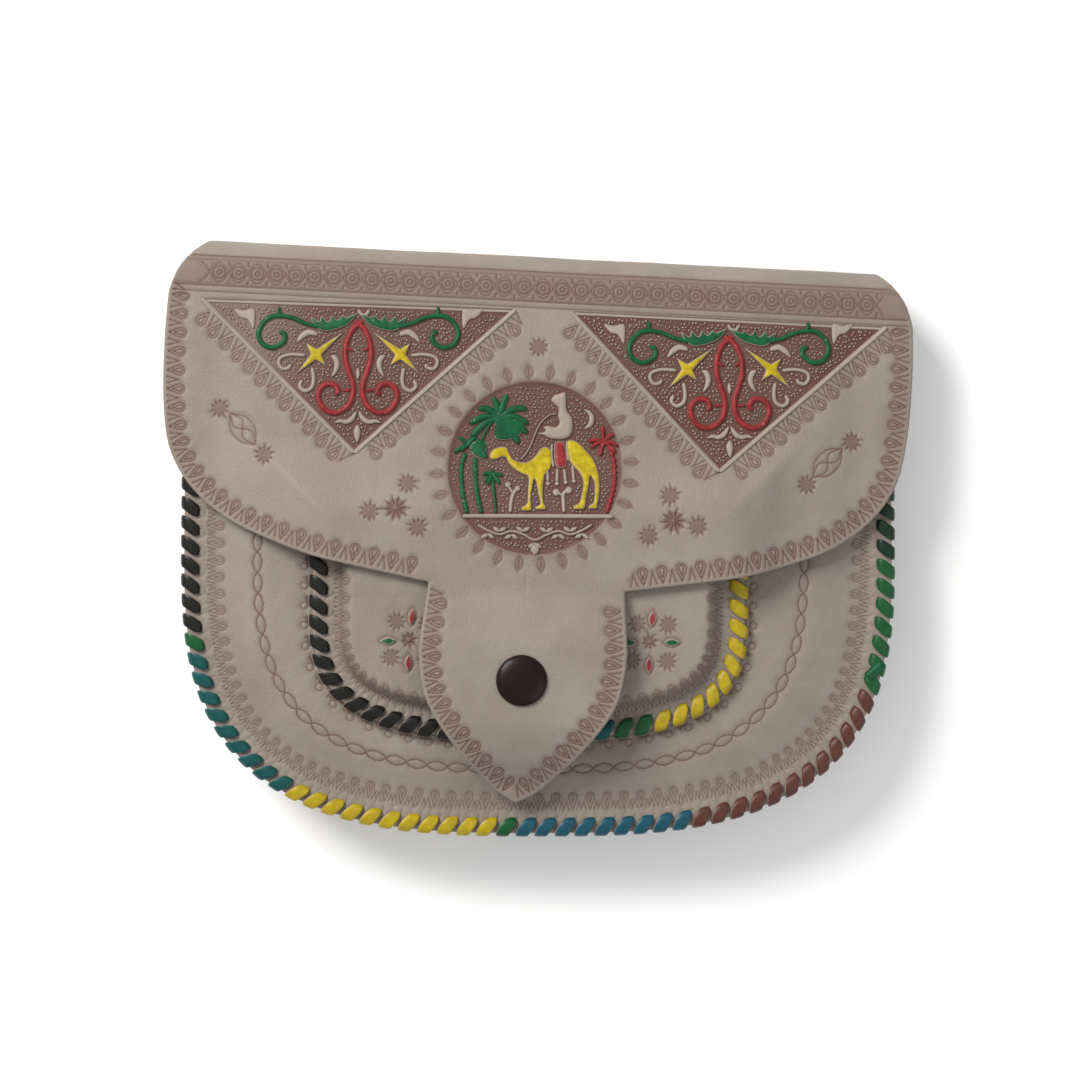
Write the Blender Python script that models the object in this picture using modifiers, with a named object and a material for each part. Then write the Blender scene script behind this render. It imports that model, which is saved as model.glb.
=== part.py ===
"""Tooled leather flap bag, lying on its back: laced body, patch pocket and a flap closed by a snap.

X runs to the right, Y up towards the fold of the flap, and Z out of the front. The hide that makes the back
folds over at the top and comes down as the flap.
"""

import bisect
import math

import bmesh
import bpy
from mathutils import Matrix, Vector

MM = 0.001
GAP = 0.3 * MM

# Leather thicknesses
BACK_THICK = 2.6 * MM
FRONT_THICK = 2.6 * MM
POCKET_THICK = 2.4 * MM
GUSSET_THICK = 1.5 * MM
FLAP_THICK = 2.8 * MM

# Body: straight sides above the widest line, a rounded bottom below it
BODY_HALF_WIDTH = 106.8 * MM
BODY_DROP = 87.8 * MM
MOUTH_RISE = 48.0 * MM
CORNER_POWER = 3.0
DEPTH_AT_MOUTH = 14.0 * MM
DEPTH_AT_BOTTOM = 22.0 * MM
RIM_FLAT = 7.5 * MM
RIM_MARGIN = 0.7 * MM
CROWN = 3.0 * MM
CROWN_RISE = 16.0 * MM
BACK_RIM_LIFT = 1.6 * MM

# Patch pocket, a little left of the middle
POCKET_X = -2.8 * MM
POCKET_Y = -20.8 * MM
POCKET_HALF_WIDTH = 64.7 * MM
POCKET_DROP = 38.1 * MM
POCKET_RISE = 25.0 * MM
POCKET_RIM_FLAT = 6.6 * MM
POCKET_BULGE = 6.2 * MM
POCKET_BULGE_RISE = 4.4 * MM

# Gusset: a channel whose two flanges lie under the panels' rims
GUSSET_WEB_IN = 9.6 * MM

# Fold and flap, which lean a little clockwise on the body
FOLD_X = 1.7 * MM
FOLD_Y = 86.6 * MM
FOLD_RADIUS = 11.0 * MM
FOLD_LEAD = 3.0 * MM
FOLD_LEAN = math.radians(2.9)
FOLD_HALF_LENGTH = 102.0 * MM
FLAP_HALF_WIDTH = 112.9 * MM
FLAP_DROP = 100.5 * MM
TONGUE_HALF_WIDTH = 30.6 * MM
TONGUE_LENGTH = 64.5 * MM

# Whipstitch lacing: flat thongs over the edges, through punched holes
STITCH_PITCH = 5.9 * MM
LACE_WIDTH = 3.1 * MM
LACE_IN_HOLE = 1.2 * MM
LACE_THICK = 0.9 * MM
HOLE_INSET = 4.9 * MM
HOLE_RADIUS = 1.9 * MM
STITCH_SLANT = 0.45
LACE_JOIN = 0.72

# Snap on the tongue
SNAP_DOWN = 128.3 * MM
SNAP_CAP_RADIUS = 7.5 * MM
SNAP_CAP_RISE = 2.1 * MM
SNAP_RING_RADIUS = 4.6 * MM
SNAP_RING_HEIGHT = 2.8 * MM
SNAP_CAVITY_RADIUS = 3.0 * MM
SNAP_BULB_RADIUS = 2.2 * MM
SNAP_FLANGE = 0.7 * MM
SNAP_SHANK_RADIUS = 1.5 * MM

# Carved fields on the flap
CARVE_DEPTH = 0.5 * MM
MEDALLION_RADIUS = 26.0 * MM
MEDALLION_DOWN = 64.9 * MM
TRIANGLE_INNER = 8.4 * MM
TRIANGLE_OUTER = 99.0 * MM
TRIANGLE_TOP = 19.5 * MM
TRIANGLE_APEX_OUT = 54.7 * MM
TRIANGLE_APEX_DOWN = 61.5 * MM

# Colours of leather, lace and snap, read from the photograph
CREAM = (0.45, 0.38, 0.31)
BROWN = (0.20, 0.11, 0.08)
TEAL = (0.02, 0.12, 0.14)
RED_BROWN = (0.15, 0.05, 0.03)
BLACK = (0.02, 0.02, 0.02)

# Fineness of the shaped surfaces
FLAP_CELL = 19.0 * MM
FLAT_WITHIN = 0.0005 * MM


def smooth(t):
    """Eased step from 0 to 1."""
    t = min(max(t, 0.0), 1.0)
    return t * t * (3.0 - 2.0 * t)


class Edge:
    """The U-shaped edge of a panel, run down the left side, along the bottom and up the right side."""

    def __init__(self, x, y, half_width, drop, rise):
        self.x, self.y = x, y
        self.half_width, self.drop, self.rise = half_width, drop, rise
        points = [Vector((x - half_width, y + rise))]
        power = 2.0 / CORNER_POWER
        steps = 240
        for i in range(steps + 1):
            angle = math.pi * i / steps
            across = -math.copysign(abs(math.cos(angle)) ** power, math.cos(angle))
            down = math.sin(angle) ** power
            points.append(Vector((x + half_width * across, y - drop * down)))
        points.append(Vector((x + half_width, y + rise)))
        self.points = points
        self.run = [0.0]
        for a, b in zip(points, points[1:]):
            self.run.append(self.run[-1] + (b - a).length)
        self.length = self.run[-1]

    def at(self, s):
        """Point and inward direction at the distance s along the edge."""
        i = min(max(bisect.bisect_right(self.run, s) - 1, 0), len(self.points) - 2)
        a, b = self.points[i], self.points[i + 1]
        along = (b - a).normalized()
        point = a + along * (s - self.run[i])
        return point, Vector((-along.y, along.x))

    def inside(self, x, y):
        """Distance inward from the edge, negative outside it."""
        across = abs(x - self.x)
        down = self.y - y
        if down <= 0.0:
            return self.half_width - across
        n = CORNER_POWER
        r = ((across / self.half_width) ** n + (down / self.drop) ** n) ** (1.0 / n)
        slope_x = across ** (n - 1) / (self.half_width**n * r ** (n - 1))
        slope_y = down ** (n - 1) / (self.drop**n * r ** (n - 1))
        return (1.0 - r) / math.hypot(slope_x, slope_y)


BODY = Edge(0.0, 0.0, BODY_HALF_WIDTH, BODY_DROP, MOUTH_RISE)
POCKET = Edge(POCKET_X, POCKET_Y, POCKET_HALF_WIDTH, POCKET_DROP, POCKET_RISE)
DEPTH_SLOPE = (DEPTH_AT_BOTTOM - DEPTH_AT_MOUTH) / (MOUTH_RISE + BODY_DROP)
FOLD_END = FOLD_RADIUS + FOLD_LEAD
LACE_STAND = GAP + LACE_THICK
FLAP_LIFT = LACE_STAND + 0.4 * MM
SNAP_STACK = SNAP_FLANGE + SNAP_RING_HEIGHT + 3 * GAP


def rim_top(y):
    """Height of the front panel's outer face at its rim."""
    depth = DEPTH_AT_MOUTH + (MOUTH_RISE - y) * DEPTH_SLOPE
    return BACK_THICK + depth + FRONT_THICK


def front_top(x, y):
    crown = smooth((BODY.inside(x, y) - RIM_FLAT - RIM_MARGIN) / CROWN_RISE)
    towards_fold = smooth((FOLD_Y - FOLD_RADIUS - y) / (0.9 * MOUTH_RISE))
    return rim_top(y) + CROWN * crown * towards_fold


def pocket_top(x, y):
    bulge = smooth((POCKET.inside(x, y) - POCKET_RIM_FLAT - RIM_MARGIN) / POCKET_BULGE_RISE)
    return front_top(x, y) + GAP + POCKET_THICK + POCKET_BULGE * bulge


def flap_place(u, v):
    """World x and y of the point u across and v down from the middle of the fold."""
    c, s = math.cos(FOLD_LEAN), math.sin(FOLD_LEAN)
    return FOLD_X + u * c - v * s, FOLD_Y - u * s - v * c


def flap_down(x, y):
    """Distance v of a world point below the fold."""
    dx, dy = x - FOLD_X, y - FOLD_Y
    return -dx * math.sin(FOLD_LEAN) - dy * math.cos(FOLD_LEAN)


def flap_under(x, y):
    """Height of the flap's inner face: it lies on the lacing, climbs over the pocket and clears the snap."""
    v = flap_down(x, y)
    over_lacing = 20.0 * MM
    over_pocket = 14.0 * MM
    into_pocket = min(POCKET.inside(x, y), POCKET_Y + POCKET_RISE - y + 8.0 * MM)
    climb = (POCKET_THICK + GAP) * smooth((into_pocket + over_lacing) / (16.0 * MM))
    climb += (POCKET_BULGE - LACE_STAND) * smooth((into_pocket + over_pocket) / (20.0 * MM))
    tented = smooth((v - FLAP_DROP) / (18.0 * MM))
    settled = smooth((v - SNAP_DOWN - SNAP_CAP_RADIUS) / (25.0 * MM))
    tent = (SNAP_STACK - GAP) * tented * (1.0 - 0.6 * settled)
    lying = front_top(x, y) + FLAP_LIFT + climb + tent
    bend_end = 2.0 * FOLD_RADIUS - FLAP_THICK
    away = smooth((v - FOLD_END) / (15.0 * MM))
    return bend_end + (lying - bend_end) * away


def flap_top(x, y):
    return flap_under(x, y) + FLAP_THICK


def half_width_at(v):
    """Half width of the hide at the distance v from the fold, rounded in at its shoulders."""
    shoulder = 24.0 * MM
    rounding = 1.0 - (1.0 - min(v / shoulder, 1.0)) ** 2.5
    return FOLD_HALF_LENGTH + (FLAP_HALF_WIDTH - FOLD_HALF_LENGTH) * rounding


parts = bpy.data.collections.new("handbag")
cutters = bpy.data.collections.new("cutters")


def material(name, colour, roughness, metallic=0.0):
    made = bpy.data.materials.new(name)
    made.use_nodes = True
    shader = made.node_tree.nodes["Principled BSDF"]
    shader.inputs["Base Color"].default_value = (*colour, 1.0)
    shader.inputs["Roughness"].default_value = roughness
    shader.inputs["Metallic"].default_value = metallic
    return made


def add_piece(name, bm, colour=CREAM, roughness=0.6, metallic=0.0, home=parts):
    """A named object from a bmesh, with a material of its own. A closed shape is turned to face out."""
    if bm.faces and all(edge.is_manifold for edge in bm.edges):
        bmesh.ops.recalc_face_normals(bm, faces=bm.faces)
    mesh = bpy.data.meshes.new(name)
    bm.to_mesh(mesh)
    bm.free()
    obj = bpy.data.objects.new(name, mesh)
    home.objects.link(obj)
    if home is cutters:
        obj.hide_render = True
        obj.display_type = "WIRE"
    else:
        mesh.materials.append(material(name, colour, roughness, metallic))
    return obj


def thicken(obj, thickness):
    """Gives a sheet its thickness behind the face that it was drawn as."""
    solid = obj.modifiers.new("thickness", "SOLIDIFY")
    solid.thickness = thickness
    solid.offset = -1.0
    solid.use_even_offset = True


def flatten(obj):
    """Joins faces that lie on one plane."""
    joined = obj.modifiers.new("flat faces", "DECIMATE")
    joined.decimate_type = "DISSOLVE"
    joined.angle_limit = math.radians(0.02)


def cut(obj, cutter):
    hole = obj.modifiers.new(cutter.name, "BOOLEAN")
    hole.operation = "DIFFERENCE"
    hole.object = cutter


def raise_sheet(bm, height):
    """Lifts each point of a flat sheet to its height, and splits the faces that this bends."""
    for vert in bm.verts:
        vert.co.z = height(vert.co.x, vert.co.y)
    bm.normal_update()
    split_bent(bm)
    facing_down = [face for face in bm.faces if face.normal.z < 0.0]
    bmesh.ops.reverse_faces(bm, faces=facing_down)


def extrude_up(bm, distance):
    """Closes a sheet into a slab of an even upright thickness."""
    made = bmesh.ops.extrude_face_region(bm, geom=bm.faces[:])
    for item in made["geom"]:
        if isinstance(item, bmesh.types.BMVert):
            item.co.z += distance


def split_bent(bm):
    """Splits into triangles each face whose corners aren't on one plane."""
    bent = []
    for face in bm.faces:
        middle = face.calc_center_median()
        if max(abs((vert.co - middle).dot(face.normal)) for vert in face.verts) > FLAT_WITHIN:
            bent.append(face)
    bmesh.ops.triangulate(bm, faces=bent)
    bm.normal_update()


def split_at(bm, places, axis):
    """Cuts a flat sheet along straight lines across the axis."""
    for place in places:
        point = Vector((place, 0, 0)) if axis == 0 else Vector((0, place, 0))
        normal = Vector((1, 0, 0)) if axis == 0 else Vector((0, 1, 0))
        geometry = bm.verts[:] + bm.edges[:] + bm.faces[:]
        bmesh.ops.bisect_plane(bm, geom=geometry, plane_co=point, plane_no=normal, dist=1e-7)


def stations(edge):
    """Places along an edge that fall between its holes, two stitches apart, with its two ends."""
    count = stitch_count(edge)
    between = [stitch_at(edge, k, count) + STITCH_PITCH / 2 for k in range(0, count - 1, 2)]
    return [0.0, *between, edge.length]


def ringed_sheet(edge, depths, top_points=()):
    """A flat sheet inside an edge, with bands that follow the edge at the given depths."""
    bm = bmesh.new()
    rings = []
    for depth in depths:
        ring = []
        for s in stations(edge):
            point, inward = edge.at(s)
            ring.append(bm.verts.new((*(point + inward * depth), 0.0)))
        rings.append(ring)
    for outer, inner in zip(rings, rings[1:]):
        for i in range(len(outer) - 1):
            bm.faces.new((outer[i], outer[i + 1], inner[i + 1], inner[i]))
    if top_points:
        top = [bm.verts.new((x, y, 0.0)) for x, y in top_points]
        right_end = [ring[-1] for ring in reversed(rings[:-1])]
        left_end = [ring[0] for ring in rings[:-1]]
        bm.faces.new(rings[-1] + right_end + top + left_end)
    else:
        bm.faces.new(rings[-1])
    return bm


def prisms(name, edge, inset, count, turn, size, low, high, sides=3):
    """One cutter with an upright prism at each stitch of an edge."""
    bm = bmesh.new()
    for k in range(count):
        point, inward = edge.at(stitch_at(edge, k, count) + turn * STITCH_PITCH)
        centre = point + inward * inset
        angle = math.atan2(inward.y, inward.x)
        rings = []
        for z in (low, high):
            if sides == 3:
                corners = [(-size, 0.0), (size * 0.75, -size), (size * 0.75, size)]
            else:
                corners = [(a * size[0], b * size[1]) for a, b in ((1, 1), (-1, 1), (-1, -1), (1, -1))]
            spin = Matrix.Rotation(angle, 2)
            rings.append([bm.verts.new((*(centre + spin @ Vector(c)), z)) for c in corners])
        lower, upper = rings
        bm.faces.new(lower[::-1])
        bm.faces.new(upper)
        for i in range(len(lower)):
            j = (i + 1) % len(lower)
            bm.faces.new((lower[i], lower[j], upper[j], upper[i]))
    return add_piece(name, bm, home=cutters)


def stitch_count(edge):
    return int(edge.length / STITCH_PITCH) - 1


def stitch_at(edge, k, count):
    """Distance along the edge of hole k, the holes being centred on the edge."""
    return edge.length / 2 + (k - (count - 1) / 2 + STITCH_SLANT / 2) * STITCH_PITCH


def whip_lace(name, edge, top, under, first, last, count, colour):
    """A flat thong wound over an edge: up through each hole, over the edge and back beneath it."""
    bm = bmesh.new()
    rings = []

    def section(s, wide, near, far, z_near, z_far):
        point, inward = edge.at(s)
        along = Vector((inward.y, -inward.x))
        ring = []
        for side, depth, z in ((-1, near, z_near), (1, near, z_near), (1, far, z_far), (-1, far, z_far)):
            place = point + inward * depth + along * (side * wide / 2)
            ring.append(bm.verts.new((*place, z)))
        rings.append(ring)

    hole_near = HOLE_INSET - LACE_THICK / 2
    hole_far = HOLE_INSET + LACE_THICK / 2
    for k in range(last, first - 1, -1):
        at_hole = stitch_at(edge, k, count)
        at_edge = at_hole - STITCH_SLANT * STITCH_PITCH
        point, inward = edge.at(at_hole)
        hole = point + inward * HOLE_INSET
        high, low = top(*hole), under(*hole)
        section(at_hole, LACE_IN_HOLE, hole_near, hole_far, low - GAP, low - LACE_STAND)
        section(at_hole, LACE_IN_HOLE, hole_near, hole_far, high + GAP, high + LACE_STAND)
        point, inward = edge.at(at_edge)
        high, low = top(*point), under(*point)
        section(at_edge, LACE_WIDTH, -GAP, -LACE_STAND, high + GAP, high + LACE_STAND)
        section(at_edge, LACE_WIDTH, -GAP, -LACE_STAND, low - GAP, low - LACE_STAND)
    for a, b in zip(rings, rings[1:]):
        for i in range(4):
            j = (i + 1) % 4
            bm.faces.new((a[i], a[j], b[j], b[i]))
    bm.faces.new(rings[0][::-1])
    bm.faces.new(rings[-1])
    return add_piece(name, bm, colour, roughness=0.45)


def turned(name, profile, colour, sides, holder):
    """A round piece turned about its axis from (radius, height) points, listed down its outer side."""
    bm = bmesh.new()
    verts = [bm.verts.new((r, 0.0, z)) for r, z in profile]
    for a, b in zip(verts, verts[1:]):
        bm.edges.new((a, b))
    if profile[0][0] > 0.0:
        bm.edges.new((verts[-1], verts[0]))
    obj = add_piece(name, bm, colour, roughness=0.3, metallic=0.6)
    spin = obj.modifiers.new("turn", "SCREW")
    spin.steps = spin.render_steps = sides
    spin.use_merge_vertices = True
    spin.merge_threshold = 0.00001
    spin.use_smooth_shade = True
    obj.parent = holder
    return obj


def field_cutter(name, corners, cell):
    """A shallow cutter whose floor runs parallel to the flap's outer face."""
    bm = bmesh.new()
    bm.faces.new([bm.verts.new((*flap_place(u, v), 0.0)) for u, v in corners])
    for axis in (0, 1):
        reach = [vert.co[axis] for vert in bm.verts]
        lines = int((max(reach) - min(reach)) / cell)
        step = (max(reach) - min(reach)) / (lines + 1)
        split_at(bm, [min(reach) + step * (i + 1) for i in range(lines)], axis)
    raise_sheet(bm, lambda x, y: flap_top(x, y) - CARVE_DEPTH)
    extrude_up(bm, 3.0 * MM)
    return add_piece(name, bm, home=cutters)


def build_back():
    """Back panel: flat to lie on, its laced rim raised, running up to the fold."""
    shoulder_steps = 4
    top_points = []
    for side in (1, -1):
        run = []
        for i in range(1, shoulder_steps + 1):
            v = FOLD_END + (FOLD_Y - MOUTH_RISE - FOLD_END) * (1 - i / shoulder_steps) ** 1.5
            blend = (i / shoulder_steps) ** 1.5
            across = BODY_HALF_WIDTH + (half_width_at(FOLD_END) - BODY_HALF_WIDTH) * blend
            run.append(flap_place(side * across, v + GAP / 2))
        top_points += run if side == 1 else run[::-1]
    bm = ringed_sheet(BODY, (0.0, RIM_FLAT, RIM_FLAT + 6 * MM), top_points)
    split_at(bm, (0.0, MOUTH_RISE * 0.999), 1)

    def height(x, y):
        lifted = 1.0 - smooth((BODY.inside(x, y) - RIM_FLAT - RIM_MARGIN) / (4.5 * MM))
        below_mouth = smooth((MOUTH_RISE + 10.0 * MM - y) / (10.0 * MM))
        return BACK_RIM_LIFT * lifted * below_mouth

    raise_sheet(bm, height)
    extrude_up(bm, BACK_THICK)
    return add_piece("back_panel", bm)


def build_back_stitches(panel):
    """The back rim's lacing, seen from behind as slanted bars, in one with the back panel."""
    bm = bmesh.new()
    count = stitch_count(BODY)
    for k in range(count):
        at_hole = stitch_at(BODY, k, count)
        ends = []
        at_edge = at_hole - STITCH_SLANT * STITCH_PITCH
        crests = (
            (at_hole, HOLE_INSET, BACK_RIM_LIFT + 0.1 * MM),
            (at_edge, -LACE_STAND, BACK_RIM_LIFT - LACE_STAND),
        )
        for s, depth, proud in crests:
            point, inward = BODY.at(s)
            along = Vector((inward.y, -inward.x)) * (LACE_WIDTH / 2)
            centre = point + inward * depth
            buried = BACK_RIM_LIFT + 0.5 * MM
            ends.append([
                bm.verts.new((*(centre + along), buried)),
                bm.verts.new((*(centre - along), buried)),
                bm.verts.new((*centre, proud)),
            ])
        a, b = ends
        bm.faces.new(a[::-1])
        bm.faces.new(b)
        for i in range(3):
            j = (i + 1) % 3
            bm.faces.new((a[i], a[j], b[j], b[i]))
    bars = add_piece("back_stitches", bm, home=cutters)
    join = panel.modifiers.new("stitches", "BOOLEAN")
    join.operation = "UNION"
    join.object = bars
    flatten(panel)


def build_front(rim_holes, pocket_holes, pocket_slits):
    bm = ringed_sheet(BODY, (0.0, RIM_FLAT, RIM_FLAT + CROWN_RISE + 2.5 * RIM_MARGIN))
    split_at(bm, (MOUTH_RISE * 0.55, MOUTH_RISE * 0.15), 1)
    raise_sheet(bm, front_top)
    panel = add_piece("front_panel", bm)
    thicken(panel, FRONT_THICK)
    for cutter in (rim_holes, pocket_holes, pocket_slits):
        cut(panel, cutter)
    flatten(panel)
    return panel


def build_gusset(rim_holes):
    """The gusset strip: a channel with its flanges turned out under the rims of both panels."""
    bm = bmesh.new()
    rows = []
    for s in stations(BODY):
        point, inward = BODY.at(s)
        low = BACK_THICK + BACK_RIM_LIFT + GAP
        section = []
        for depth, at_top in ((0.0, False), (GUSSET_WEB_IN, False), (GUSSET_WEB_IN, True), (0.0, True)):
            place = point + inward * depth
            high = rim_top(place.y) - FRONT_THICK - GAP
            section.append(bm.verts.new((*place, high if at_top else low)))
        rows.append(section)
    for a, b in zip(rows, rows[1:]):
        for i in range(len(a) - 1):
            bm.faces.new((a[i], a[i + 1], b[i + 1], b[i]))
    bm.normal_update()
    split_bent(bm)
    gusset = add_piece("gusset", bm)
    thicken(gusset, GUSSET_THICK)
    cut(gusset, rim_holes)
    flatten(gusset)
    return gusset


def build_pocket(pocket_holes, snap_hole):
    risen = POCKET_RIM_FLAT + POCKET_BULGE_RISE + 2 * RIM_MARGIN
    bm = ringed_sheet(POCKET, (0.0, POCKET_RIM_FLAT, risen))
    raise_sheet(bm, pocket_top)
    panel = add_piece("pocket_panel", bm)
    thicken(panel, POCKET_THICK)
    cut(panel, pocket_holes)
    cut(panel, snap_hole)
    flatten(panel)
    return panel


def build_fold():
    """The bend of the hide at the top, between the back panel and the flap."""
    bm = bmesh.new()
    steps = 6
    section = [(FOLD_END - GAP / 2, 0.0)]
    for i in range(steps + 1):
        angle = math.pi * i / steps
        section.append((FOLD_RADIUS * (1.0 - math.sin(angle)), FOLD_RADIUS * (1.0 - math.cos(angle))))
    section.append((FOLD_END - GAP / 2, 2 * FOLD_RADIUS))
    rows = []
    for v, z in section:
        half = half_width_at(v)
        rows.append([bm.verts.new((*flap_place(u * half, v), z)) for u in (-1.0, 1.0)])
    for a, b in zip(rows, rows[1:]):
        for i in range(len(a) - 1):
            bm.faces.new((a[i], b[i], b[i + 1], a[i + 1]))
    fold = add_piece("flap_fold", bm)
    thicken(fold, BACK_THICK)
    return fold


def flap_outline():
    """Half outline of the flap as (across, down) points, from the bend to the tip of the tongue."""
    w, d = FLAP_HALF_WIDTH, FLAP_DROP
    t, n = TONGUE_HALF_WIDTH, TONGUE_LENGTH
    start = FOLD_END + GAP / 2
    side = [(half_width_at(v), v) for v in (start, 0.18 * d, 0.32 * d)]
    corner = [(0.995 * w, 0.48 * d), (0.978 * w, 0.61 * d), (0.948 * w, 0.69 * d), (0.905 * w, 0.755 * d)]
    foot = [(0.85 * w, 0.81 * d), (0.775 * w, 0.86 * d), (0.67 * w, 0.905 * d), (0.565 * w, 0.94 * d)]
    hem = [(0.47 * w, 0.96 * d), (0.365 * w, 0.98 * d), (0.95 * t, d)]
    tongue = [(0.98 * t, d + 0.16 * n), (t, d + 0.3 * n), (0.97 * t, d + 0.43 * n), (0.91 * t, d + 0.53 * n)]
    tip = [(0.79 * t, d + 0.63 * n), (0.6 * t, d + 0.75 * n), (0.39 * t, d + 0.86 * n)]
    point = [(0.19 * t, d + 0.95 * n), (0.0, d + n)]
    return side + corner + foot + hem + tongue + tip + point


def build_flap(hinge, snap_hole):
    half = flap_outline()
    outline = half + [(-u, v) for u, v in reversed(half[:-1])]
    bm = bmesh.new()
    bm.faces.new([bm.verts.new((*flap_place(u, v), 0.0)) for u, v in outline])
    for axis in (0, 1):
        reach = [vert.co[axis] for vert in bm.verts]
        lines = int((max(reach) - min(reach)) / FLAP_CELL)
        step = (max(reach) - min(reach)) / (lines + 1)
        split_at(bm, [min(reach) + step * (i + 1) for i in range(lines)], axis)
    raise_sheet(bm, flap_top)
    flap = add_piece("flap", bm)
    thicken(flap, FLAP_THICK)
    for side, name in ((-1, "left_field"), (1, "right_field")):
        corners = [
            (side * TRIANGLE_INNER, TRIANGLE_TOP),
            (side * TRIANGLE_OUTER, TRIANGLE_TOP),
            (side * TRIANGLE_APEX_OUT, TRIANGLE_APEX_DOWN),
        ]
        cut(flap, field_cutter(name, corners, FLAP_CELL * 2))
    turns = 20
    disc = []
    for i in range(turns):
        angle = 2 * math.pi * i / turns
        disc.append((MEDALLION_RADIUS * math.cos(angle), MEDALLION_DOWN + MEDALLION_RADIUS * math.sin(angle)))
    cut(flap, field_cutter("medallion_field", disc, FLAP_CELL))
    cut(flap, snap_hole)
    hang(flap, hinge)
    return flap


def hang(obj, holder):
    """Parents a piece to a holder without moving it."""
    bpy.context.view_layer.update()
    obj.parent = holder
    obj.matrix_parent_inverse = holder.matrix_world.inverted()


def snap_holder(name):
    """An empty on the pocket's face under the snap, square to that face."""
    x, y = flap_place(0.0, SNAP_DOWN)
    holder = bpy.data.objects.new(name, None)
    holder.location = (x, y, pocket_top(x, y))
    holder.rotation_euler.x = -math.atan(DEPTH_SLOPE)
    parts.objects.link(holder)
    return holder


def build_snap(seat, hinge):
    """Cap and socket ride on the tongue, stud and post stay on the pocket."""
    carried = snap_holder("snap_carrier")

    shank = SNAP_SHANK_RADIUS
    bore = shank + GAP
    flange_top = GAP + SNAP_FLANGE
    bulb_top = flange_top + 1.9 * MM
    disc_top = -POCKET_THICK - GAP
    turned("snap_post", [
        (0.0, flange_top),
        (shank, flange_top),
        (shank, disc_top),
        (SNAP_RING_RADIUS - MM, disc_top),
        (SNAP_RING_RADIUS - MM, disc_top - SNAP_FLANGE),
        (0.0, disc_top - SNAP_FLANGE),
    ], BROWN, 10, seat)
    turned("snap_stud", [
        (0.0, bulb_top),
        (SNAP_BULB_RADIUS, bulb_top - 0.4 * MM),
        (SNAP_BULB_RADIUS * 0.95, flange_top),
        (SNAP_RING_RADIUS, flange_top),
        (SNAP_RING_RADIUS, GAP),
        (bore, GAP),
        (bore, flange_top + GAP),
        (0.0, flange_top + GAP),
    ], BROWN, 12, seat)

    ring_low = flange_top + GAP
    ring_high = ring_low + SNAP_RING_HEIGHT
    cavity_top = ring_high - SNAP_FLANGE
    turned("snap_socket", [
        (bore, ring_high),
        (SNAP_RING_RADIUS, ring_high),
        (SNAP_RING_RADIUS, ring_low),
        (SNAP_CAVITY_RADIUS, ring_low),
        (SNAP_CAVITY_RADIUS, cavity_top),
        (bore, cavity_top),
    ], BROWN, 12, carried)
    cap_low = ring_high + GAP + FLAP_THICK + GAP
    cap = SNAP_CAP_RADIUS
    turned("snap_cap", [
        (0.0, cap_low + SNAP_CAP_RISE),
        (cap * 0.75, cap_low + SNAP_CAP_RISE * 0.8),
        (cap, cap_low + SNAP_CAP_RISE * 0.2),
        (cap, cap_low),
        (shank, cap_low),
        (shank, cavity_top),
        (0.0, cavity_top),
    ], BROWN, 18, carried)
    hang(carried, hinge)


def snap_hole(name, seat):
    """The hole for the snap's shanks, square to the pocket, through the pocket and the tongue."""
    bm = bmesh.new()
    radius = SNAP_SHANK_RADIUS + 1.4 * GAP
    bmesh.ops.create_cone(bm, cap_ends=True, segments=10, radius1=radius, radius2=radius, depth=40 * MM)
    hole = add_piece(name, bm, home=cutters)
    hole.location = seat.location
    hole.rotation_euler = seat.rotation_euler
    return hole


def rest_on_base():
    """Moves the whole bag so that its lowest point is at zero and it is centred on the origin."""
    bpy.context.view_layer.update()
    graph = bpy.context.evaluated_depsgraph_get()
    corners = []
    for obj in parts.objects:
        if obj.type == "MESH":
            shape = obj.evaluated_get(graph)
            corners += [shape.matrix_world @ Vector(c) for c in shape.bound_box]
    low = Vector([min(c[i] for c in corners) for i in range(3)])
    high = Vector([max(c[i] for c in corners) for i in range(3)])
    shift = Vector((-(low.x + high.x) / 2, -(low.y + high.y) / 2, -low.z))
    for obj in [*parts.objects, *cutters.objects]:
        if obj.parent is None:
            obj.location += shift


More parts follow.
